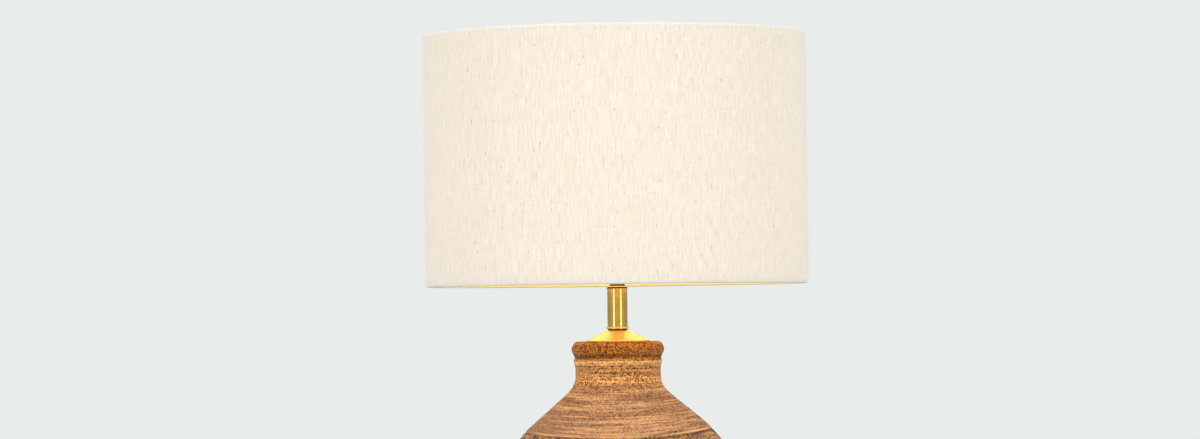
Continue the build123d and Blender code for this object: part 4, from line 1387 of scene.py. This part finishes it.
inlet = bmesh.new()
inlet_outline = [
    (0.0, INLET_ENDS[0]), (INLET_RADIUS, INLET_ENDS[0]), (INLET_RADIUS, SPOT_FACE),
    (SPOT_RADIUS, SPOT_FACE), (SPOT_RADIUS, INLET_ENDS[1]), (0.0, INLET_ENDS[1]),
]
spin_outline(inlet, inlet_outline, 48, closed=False)
lay_back(inlet, INLET_LEVEL)
cut_away(vessel, inlet)

plain_ring("cork_ring", "cork_pad", PAD_HOLE, CORK, "cork", corner=0.0004)

grommet_in, grommet_out = (corner.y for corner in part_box("cord_grommet"))
grommet_bm = bmesh.new()
grommet_outline = [
    (GROMMET_BORE, grommet_in), (GROMMET_BODY, grommet_in), (GROMMET_BARB, grommet_in + BARB_LENGTH),
    (GROMMET_BODY, grommet_in + BARB_LENGTH), (GROMMET_BODY, SPOT_FACE), (FLANGE_RADIUS, SPOT_FACE),
    (FLANGE_RADIUS, grommet_out), (GROMMET_BORE, grommet_out),
]
spin_outline(grommet_bm, grommet_outline, 64)
round_corners(grommet_bm, width=0.00035)
lay_back(grommet_bm, INLET_LEVEL)
grommet = bmesh_to_piece("lead_grommet", grommet_bm, BLACK_RUBBER)
place_piece(grommet, "stand", "black_rubber", "cord_grommet")

# %% [markdown]
# ## Foot: plate, nut and rod
# A plate, a washer and a nut pull the whole lamp together on one threaded tube. The hexagon of the nut
# is cut from a turned blank with six planes, so its corners keep the round chamfer that a real nut has.
# The tube's thread is modelled only where the nut runs: the rest of it is hidden in the vessel.

# %% Plate, nut and rod
NUT_HALF_FLATS = 0.008
NUT_CORNERS = 1.14              # the blank's radius, as a share of that half width
NUT_FACE = 0.98                 # and the radius where its end is still flat
NUT_CHAMFER = 0.0007
BORE_CHAMFER = 0.0004
NUT_CLEAR = 0.00005
ROD_BORE = 0.0037
ROD_RADIUS = radius_of("threaded_rod")
ROD_CLEAR = ROD_RADIUS + 0.0002
ROD_THREAD_LENGTH = 0.024
ROD_PITCH = 0.001
ROD_STEP = 0.00014              # between points up the thread
ROD_THREAD_DEPTH = 0.0005

plain_ring("clamp_disc", "clamp_plate", ROD_CLEAR, ZINC_STEEL, "zinc_steel", corner=0.0003)


def make_nut():
    """A turned blank with a chamfer at both ends, cut to a hexagon."""
    low, high = levels_of("rod_nut")
    corner, face, bore = NUT_HALF_FLATS * NUT_CORNERS, NUT_HALF_FLATS * NUT_FACE, ROD_RADIUS + NUT_CLEAR
    half = [(bore, low + BORE_CHAMFER), (bore + BORE_CHAMFER, low), (face, low), (corner, low + NUT_CHAMFER)]
    bm = bmesh.new()
    spin_outline(bm, half + [(radius, low + high - z) for radius, z in half[::-1]], 96)
    box_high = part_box("rod_nut")[1]
    first = 30 if box_high.x > box_high.y else 0
    for side in range(6):
        angle = math.radians(first + 60 * side)
        out = Vector((math.cos(angle), math.sin(angle), 0.0))
        cut = bmesh.ops.bisect_plane(
            bm, geom=bm.verts[:] + bm.edges[:] + bm.faces[:], plane_co=out * NUT_HALF_FLATS, plane_no=out,
            clear_outer=True,
        )
        edges = [e for e in cut["geom_cut"] if isinstance(e, bmesh.types.BMEdge)]
        bmesh.ops.edgeloop_fill(bm, edges=edges)
    return bmesh_to_piece("hex_nut", bm, ZINC_STEEL)


place_piece(make_nut(), "stand", "zinc_steel", "rod_nut")

rod_low, rod_high = levels_of("threaded_rod")
thread_end = rod_low + ROD_THREAD_LENGTH
rod_bm = bmesh.new()
rod_wall = cut_fine([(ROD_RADIUS, rod_low), (ROD_RADIUS, thread_end)], ROD_STEP)
spin_outline(rod_bm, [(ROD_BORE, rod_low), *rod_wall, (ROD_RADIUS, rod_high), (ROD_BORE, rod_high)], 48)
press_thread(rod_bm, rod_low, thread_end, ROD_PITCH, ROD_THREAD_DEPTH, ROD_BORE + ROD_THREAD_DEPTH)
place_piece(bmesh_to_piece("steel_rod", rod_bm, ZINC_STEEL), "stand", "zinc_steel", "threaded_rod")

# %% [markdown]
# ## Brass cap and neck
# A spun brass cap covers the mouth, and a brass tube stands on it between a ferrule and a rounded
# collar, with thin black washers that show as dark lines. They are the brightest small things in the
# picture, so they are turned afresh with fine segments and rounded corners.

# %% Cap, neck and washers
CAP_WALL = 0.0011
CAP_RIM = 0.001
CAP_LAND_RADIUS = 0.0124
TUBE_WALL = 0.001
COLLAR_HEIGHT = 0.0016
FERRULE_HEIGHT = 0.0022
SPIGOT_CLEAR = 0.0002
BRASS_SEGMENTS = 128

cap_radius = radius_of("vase_cap")
cap_z, cap_top = levels_of("vase_cap")
cap_outline = [
    (cap_radius, cap_z), (cap_radius, cap_z + CAP_RIM), (CAP_LAND_RADIUS, cap_top), (ROD_CLEAR, cap_top),
    (ROD_CLEAR, cap_top - CAP_WALL), (CAP_LAND_RADIUS, cap_top - CAP_WALL),
    (cap_radius - 2 * CAP_WALL, cap_z),
]
vase_cap = turned("brass_cap", cap_outline, SPUN_BRASS, corner=0.00048, segments=BRASS_SEGMENTS)
place_piece(vase_cap, "stand", "satin_brass", "vase_cap")

tube_radius = radius_of("neck_tube")
tube_hole = tube_radius - TUBE_WALL
for node, hole in (("lower_gasket", ROD_CLEAR), ("upper_gasket", tube_hole)):
    plain_ring(node + "_ring", node, hole, BLACK_RUBBER, "black_rubber", corner=0.00015)
plain_ring(
    "brass_tube", "neck_tube", tube_hole, SATIN_BRASS, "satin_brass",
    corner=0.00025, segments=BRASS_SEGMENTS,
)

spigot = tube_hole - SPIGOT_CLEAR
ferrule_radius = radius_of("tube_ferrule")
ferrule_low, ferrule_top = levels_of("tube_ferrule")
ferrule_high = ferrule_low + FERRULE_HEIGHT
ferrule_outline = [
    (ROD_CLEAR, ferrule_low), (ferrule_radius, ferrule_low), (ferrule_radius, ferrule_high),
    (spigot, ferrule_high), (spigot, ferrule_top), (ROD_CLEAR, ferrule_top),
]
ferrule = turned("brass_ferrule", ferrule_outline, SATIN_BRASS, corner=0.0007, segments=BRASS_SEGMENTS)
place_piece(ferrule, "stand", "satin_brass", "tube_ferrule")

collar_low, collar_top = levels_of("neck_collar")
collar_face = collar_top - COLLAR_HEIGHT
collar_outline = [
    (ROD_CLEAR, collar_low), (spigot, collar_low), (spigot, collar_face), (tube_radius, collar_face),
    (tube_radius, collar_top), (ROD_CLEAR, collar_top),
]
collar = turned("brass_collar", collar_outline, SATIN_BRASS, corner=0.0006, segments=BRASS_SEGMENTS)
place_piece(collar, "stand", "satin_brass", "neck_collar")

# %% [markdown]
# ## Lampholder: domed cap
# Inside the shade the lampholder is a black moulding. Its lower half is a domed cap with a slot for the
# push bar and a hole for the grub screw. A moulder's tool would leave both open, but the cap is round
# otherwise, so it is turned and then cut.

# %% Lampholder cap
DOME_CENTRE = (0.008, 0.3845)   # of the rounding, as radius and level
DOME_INSIDE = 0.007
DOME_OUTSIDE = 0.0105
HOLDER_BORE = 0.00505
HOLDER_RADIUS = 0.0185
HOLDER_INSIDE = 0.015
SLOT_SIZE = (0.06, 0.007, 0.005)    # right through, by the width and height of the push bar's way
SLOT_LEVEL = 0.3885
SCREW_HOLE = 0.0013
SCREW_HOLE_LENGTH = 0.006
SCREW_HOLE_PLACE = 0.0085       # its middle, from the axis

holder_low, holder_join = levels_of("holder_cap")
dome_outline = [
    (HOLDER_BORE, holder_low), (DOME_CENTRE[0], holder_low), *arc(DOME_CENTRE, DOME_OUTSIDE, -90, 0, 14),
    (HOLDER_RADIUS, holder_join), (HOLDER_INSIDE, holder_join), *arc(DOME_CENTRE, DOME_INSIDE, 0, -90, 10),
    (HOLDER_BORE, DOME_CENTRE[1] - DOME_INSIDE),
]
holder_cap = turned("holder_dome", dome_outline, BLACK_MOULDING)
slot_bm = bmesh.new()
bmesh.ops.create_cube(slot_bm, size=1.0)
bmesh.ops.scale(slot_bm, verts=slot_bm.verts, vec=SLOT_SIZE)
bmesh.ops.translate(slot_bm, verts=slot_bm.verts, vec=(0, 0, SLOT_LEVEL))
cut_away(holder_cap, slot_bm)
screw_low, screw_high = levels_of("holder_grub_screw")
screw_bm = bmesh.new()
bmesh.ops.create_cone(
    screw_bm, cap_ends=True, segments=32, radius1=SCREW_HOLE, radius2=SCREW_HOLE, depth=SCREW_HOLE_LENGTH,
    matrix=Matrix.Translation((0, 0, SCREW_HOLE_PLACE)),
)
lay_back(screw_bm, (screw_low + screw_high) / 2)
cut_away(holder_cap, screw_bm)
place_piece(holder_cap, "stand", "black_moulding", "holder_cap")

# %% [markdown]
# ## Lampholder: body and socket
# The upper half is a body with a flange and a threaded skirt. The bulb's socket inside it is a brass
# shell with a rolled thread. Both are turned with a fine wall, and the thread is pressed in afterwards,
# because a spun outline alone can't climb.

# %% Lampholder body and socket
BODY_INSIDE = 0.0163
BODY_FLOOR = 0.4045
FLANGE_REACH = 0.026
FLANGE_LOW = 0.4055
SKIRT_START = 0.408
SKIRT_RADIUS = 0.0196
SKIRT_INSIDE = 0.0143
SHELL_RADIUS = 0.0141
SHELL_INSIDE = 0.0134
SHELL_HOLE = 0.007
SHELL_FLOOR = 0.0007
BULB_PITCH = 0.0036             # of the bulb's thread and its socket's

body_low, body_high = levels_of("holder_body")
body_outline = [
    (BODY_INSIDE, body_low), (HOLDER_RADIUS, body_low), (HOLDER_RADIUS, FLANGE_LOW),
    (FLANGE_REACH, FLANGE_LOW), (FLANGE_REACH, SKIRT_START), (SKIRT_RADIUS, SKIRT_START),
    (SKIRT_RADIUS, body_high), (SKIRT_INSIDE, body_high), (SKIRT_INSIDE, BODY_FLOOR),
    (BODY_INSIDE, BODY_FLOOR),
]
holder_body = threaded(
    "holder_skirt", body_outline, BLACK_MOULDING, low=SKIRT_START + 0.001, high=body_high,
    pitch=0.0025, depth=0.0008, beyond=0.0175, corner=0.00015,
)
place_piece(holder_body, "stand", "black_moulding", "holder_body")

shell_low, shell_high = levels_of("screw_shell")
shell_outline = [
    (SHELL_HOLE, shell_low), (SHELL_RADIUS, shell_low), (SHELL_RADIUS, shell_high),
    (SHELL_INSIDE, shell_high), (SHELL_INSIDE, shell_low + SHELL_FLOOR),
    (SHELL_HOLE, shell_low + SHELL_FLOOR),
]
screw_shell = threaded(
    "socket_shell", shell_outline, CONTACT_BRASS, low=shell_low + 0.002, high=shell_high - 0.001,
    pitch=BULB_PITCH, depth=0.0003, beyond=0.012,
)
place_piece(screw_shell, "stand", "contact_brass", "screw_shell")

# %% [markdown]
# ## Shade ring
# A ring with a ribbed edge screws down on the shade's fitter. Its ribs could be cut one by one with
# Booleans, but they are half-round notches, so it is enough to turn the ring with many segments and to
# move every point near a notch in by the notch's depth there.

# %% Shade ring
RING_HOLE = 0.0199
RING_FLANGE = 0.0254
RING_FLANGE_TOP = 0.4115
RING_RADIUS = 0.0235
RING_EDGE = 0.0004
RING_RIM = 0.0005
RING_NOTCHES = 24
NOTCH = 0.0009
RING_SEGMENTS = 480


def cut_notch(point):
    """Moves a point of the ring's edge in, if a notch reaches it."""
    reach = math.hypot(point.x, point.y)
    part = math.atan2(point.y, point.x) * RING_NOTCHES / math.tau
    off = (part - round(part)) * math.tau / RING_NOTCHES * RING_RADIUS
    if abs(off) < NOTCH:
        share = 1 - math.sqrt(NOTCH**2 - off**2) / reach
        point.x *= share
        point.y *= share


def make_ring():
    """The shade ring: a flange with a collar that has finger notches."""
    low, high = levels_of("shade_ring")
    ring = [
        (RING_HOLE, low), (RING_FLANGE, low), (RING_FLANGE, RING_FLANGE_TOP - RING_EDGE),
        (RING_FLANGE - RING_EDGE, RING_FLANGE_TOP), (RING_RADIUS, RING_FLANGE_TOP),
        (RING_RADIUS, high - RING_RIM), (RING_RADIUS - RING_RIM, high), (RING_HOLE + RING_EDGE, high),
        (RING_HOLE, high - RING_EDGE),
    ]
    bm = bmesh.new()
    spin_outline(bm, ring, RING_SEGMENTS)
    for vert in bm.verts:
        inside = RING_RADIUS - math.hypot(vert.co.x, vert.co.y)
        if vert.co.z > RING_FLANGE_TOP - HAIR and -HAIR < inside < RING_RIM + 0.0001:
            cut_notch(vert.co)
    return bmesh_to_piece("ribbed_ring", bm, BLACK_MOULDING, math.radians(32))


place_piece(make_ring(), "shade_ring", "black_moulding", "shade_ring")

# %% [markdown]
# ## Bulb
# A clear globe bulb with light strips. A single surface would look like a ball of solid glass, so the
# globe is one blown skin with an inside and an outside, and light bends through it as through a real
# one. The cap is a thin shell with a rolled thread.

# %% Bulb
GLASS_WALL = 0.001
GLASS_NECK = 0.0122
GLASS_FLARE = 0.4375            # level where the neck opens into the globe
GLASS_FILLET = 0.008
CAP_THREAD_RADIUS = 0.013
CAP_INSIDE = 0.0124
CAP_TIP_RADIUS = 0.0114
CAP_TIP_INSIDE = 0.0108
CAP_TAPER = 0.0016
globe_z = bulb_centre.z


def globe_outline(neck, radius):
    """Outline of a bulb's skin from the end of its neck, up the flare and round to the top."""
    foot = Vector((neck, GLASS_FLARE - globe_z))
    lean = math.atan2(foot.y, foot.x) + math.acos(radius / foot.length)
    meets = (radius * math.cos(lean), globe_z + radius * math.sin(lean))
    start = (neck, glass_low.z)
    bend = rounded_corner(start, (neck, GLASS_FLARE), meets, GLASS_FILLET, 8)
    return [start] + bend + arc((0.0, globe_z), radius, math.degrees(lean), 90, 40)


glass_bm = bmesh.new()
skin = globe_outline(GLASS_NECK - GLASS_WALL, bulb_radius - GLASS_WALL)[::-1]
spin_outline(glass_bm, skin + globe_outline(GLASS_NECK, bulb_radius), 96, closed=False)
globe = bmesh_to_piece("glass_globe", glass_bm, CLEAR_GLASS)
place_piece(globe, "bulb", "clear_glass", "bulb_glass")

cap_low, cap_high = levels_of("bulb_cap")
bulb_cap_outline = [
    (CAP_TIP_INSIDE, cap_low), (CAP_TIP_RADIUS, cap_low), (CAP_THREAD_RADIUS, cap_low + CAP_TAPER),
    (CAP_THREAD_RADIUS, cap_high), (CAP_INSIDE, cap_high), (CAP_INSIDE, cap_low + CAP_TAPER),
]
bulb_cap = threaded(
    "bulb_thread", bulb_cap_outline, BULB_METAL, low=cap_low + 0.0015, high=cap_high - 0.003,
    pitch=BULB_PITCH, depth=0.0007, beyond=0.0115,
)
place_piece(bulb_cap, "bulb", "bulb_metal", "bulb_cap")

# %% [markdown]
# ## Cloth: its line and its map
# The drum is one strip of linen that goes once round and is rolled in round a wire ring at the top and
# the bottom. Its line follows the middle of the cloth. An unwrap could give it a map, but would stretch
# the threads at the hems, so every corner of a face gets its place on the flat cloth from its angle and
# its height, in metres, starting at the back.

# %% Cloth line and map
FABRIC = 0.0008
HEM_INNER = 0.00275             # radius inside a rolled hem
HEM_TUCK = 0.006
BACK = math.pi / 2              # the lap is at +Y


def linen_outline():
    """Middle of the cloth, from the tuck in the lower hem up the wall to the tuck in the upper one."""
    bend = HEM_INNER + FABRIC / 2
    centre_r = shade_radius - FABRIC / 2 - bend
    low_z, high_z = shade_low + FABRIC / 2 + bend, shade_high - FABRIC / 2 - bend
    inner = centre_r - bend
    lower = [(inner, low_z + HEM_TUCK)] + arc((centre_r, low_z), bend, 180, 360, 12)
    upper = arc((centre_r, high_z), bend, 0, 180, 12) + [(inner, high_z - HEM_TUCK)]
    return lower + upper


def map_cloth(piece, shift=0.0):
    """Lays the cloth's own map on it, in metres: around the shade from the lap, and up."""
    mesh = piece.data
    cloth = mesh.uv_layers.new(name="cloth")
    for face in mesh.polygons:
        middle = (math.atan2(face.center.y, face.center.x) - BACK) % math.tau
        for loop in face.loop_indices:
            at = mesh.vertices[mesh.loops[loop].vertex_index].co
            angle = (math.atan2(at.y, at.x) - BACK) % math.tau
            angle += math.tau * round((middle - angle) / math.tau)
            cloth.data[loop].uv = (angle * shade_radius + shift, at.z)


# %% [markdown]
# ## Linen cover
# The cover is spun from that line, open at both tucks, and then given its thickness, because one line
# is easier to roll in than two. At the back the strip laps over itself. A spin closes on itself and
# leaves no end, so the end that lies on top is a narrow raised piece of its own.

# %% Linen cover
CLOTH_STEP = 0.012              # between points up the cloth
CLOTH_SEGMENTS = 192
LAP_WIDTH = 0.012
LAP_THICKNESS = 0.0005
LAP_SHORT = 0.004               # the lap stops short of the rims
LAP_SUNK = 0.0001               # and is stuck down
LAP_MAP_SHIFT = 0.37            # so that its threads differ from those beside it


def make_linen():
    """The linen cover, one sheet with both hems rolled in."""
    bm = bmesh.new()
    spin_outline(bm, cut_fine(linen_outline(), CLOTH_STEP), CLOTH_SEGMENTS, closed=False)
    cover = bmesh_to_piece("linen_cover", bm, LINEN, math.radians(60))
    map_cloth(cover)
    thick = cover.modifiers.new("thickness", "SOLIDIFY")
    thick.thickness = FABRIC
    thick.offset = 0.0
    return cover


def make_lap():
    """The end of the linen where it laps over its start: a narrow raised strip at the back."""
    bm = bmesh.new()
    turns = LAP_WIDTH / (math.tau * shade_radius)
    wall = ring_outline(
        shade_radius - LAP_SUNK, shade_radius + LAP_THICKNESS, shade_low + LAP_SHORT, shade_high - LAP_SHORT
    )
    spin_outline(bm, wall, 512, turns=turns, full=False)
    bmesh.ops.holes_fill(bm, edges=[e for e in bm.edges if e.is_boundary], sides=0)
    turn = Matrix.Rotation(BACK - math.pi * turns, 3, "Z")
    bmesh.ops.rotate(bm, verts=bm.verts, cent=(0, 0, 0), matrix=turn)
    round_corners(bm, width=0.0002)
    lap = bmesh_to_piece("linen_lap", bm, LINEN)
    map_cloth(lap, LAP_MAP_SHIFT)
    return lap


linen_cover, linen_lap = make_linen(), make_lap()
place_piece(linen_cover, "shade", "linen", "shade_fabric")
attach(linen_lap, "shade")

# %% [markdown]
# ## Lining and fitter
# Behind the cloth is a thin stiff sheet, and in the middle a steel cup, the fitter, carries the three
# arms. Faces that lie in one another make bands in a render, so the sheet keeps a hair's breadth from
# the cloth. It casts no shadow, because the bulb's light goes through it to the cloth.

# %% Lining and fitter
LINING = 0.0005
LINING_GAP = 0.0002
FITTER_HOLE = 0.0202
FITTER_RADIUS = 0.0275
FITTER_INSIDE = 0.026
FITTER_FLOOR = 0.0015

lining_radius = radius_of("shade_liner") - LINING_GAP
lining_outline = ring_outline(lining_radius - LINING, lining_radius, *levels_of("shade_liner"))
lining = turned("lining_sheet", lining_outline, SHADE_LINING, corner=0, segments=CLOTH_SEGMENTS)
place_piece(lining, "shade", "shade_lining", "shade_liner")
lining.visible_shadow = False

fitter_low, fitter_high = levels_of("shade_fitter")
fitter_outline = [
    (FITTER_HOLE, fitter_low), (FITTER_RADIUS, fitter_low), (FITTER_RADIUS, fitter_high),
    (FITTER_INSIDE, fitter_high), (FITTER_INSIDE, fitter_low + FITTER_FLOOR),
    (FITTER_HOLE, fitter_low + FITTER_FLOOR),
]
fitter = turned("fitter_ring", fitter_outline, SHADE_WIRE, corner=0.0004)
place_piece(fitter, "shade", "shade_wire", "shade_fitter")

# %% [markdown]
# ## Nodes that stay
# The remaining pieces already have the right shape, so they only get their finish. Their meshes are
# loose flat triangles; a Weld joins them and an Edge Split keeps their real corners, so round ones
# shade smoothly. The bulb's skin and strips cast no shadow, because the point light stands among them.

# %% Finishes of the nodes that stay
FINISHES = {
    "cork": CORK, "stoneware": STONEWARE, "black_rubber": BLACK_RUBBER, "zinc_steel": ZINC_STEEL,
    "plug_wood": PLUG_WOOD, "satin_brass": SATIN_BRASS, "black_moulding": BLACK_MOULDING,
    "porcelain": PORCELAIN, "contact_brass": CONTACT_BRASS, "bulb_metal": BULB_METAL,
    "bulb_insulation": BULB_INSULATION, "clear_glass": CLEAR_GLASS, "filament": LIGHT_STRIP,
    "shade_wire": SHADE_WIRE, "shade_lining": SHADE_LINING, "linen": LINEN,
}


def soften(node):
    """Makes a node of loose triangles shade smoothly up to its corners."""
    node.data.shade_smooth()
    node.modifiers.new("join", "WELD").merge_threshold = HAIR
    node.modifiers.new("corners", "EDGE_SPLIT").split_angle = math.radians(32)


for row in frame["record"]["subparts"]:
    node = nodes[row["node"]]
    node.data.materials.clear()
    node.data.materials.append(FINISHES[row["material_slot"]])
    soften(node)
for shown in (globe, nodes["bulb_stem"], nodes["bulb_filaments"]):
    shown.visible_shadow = False
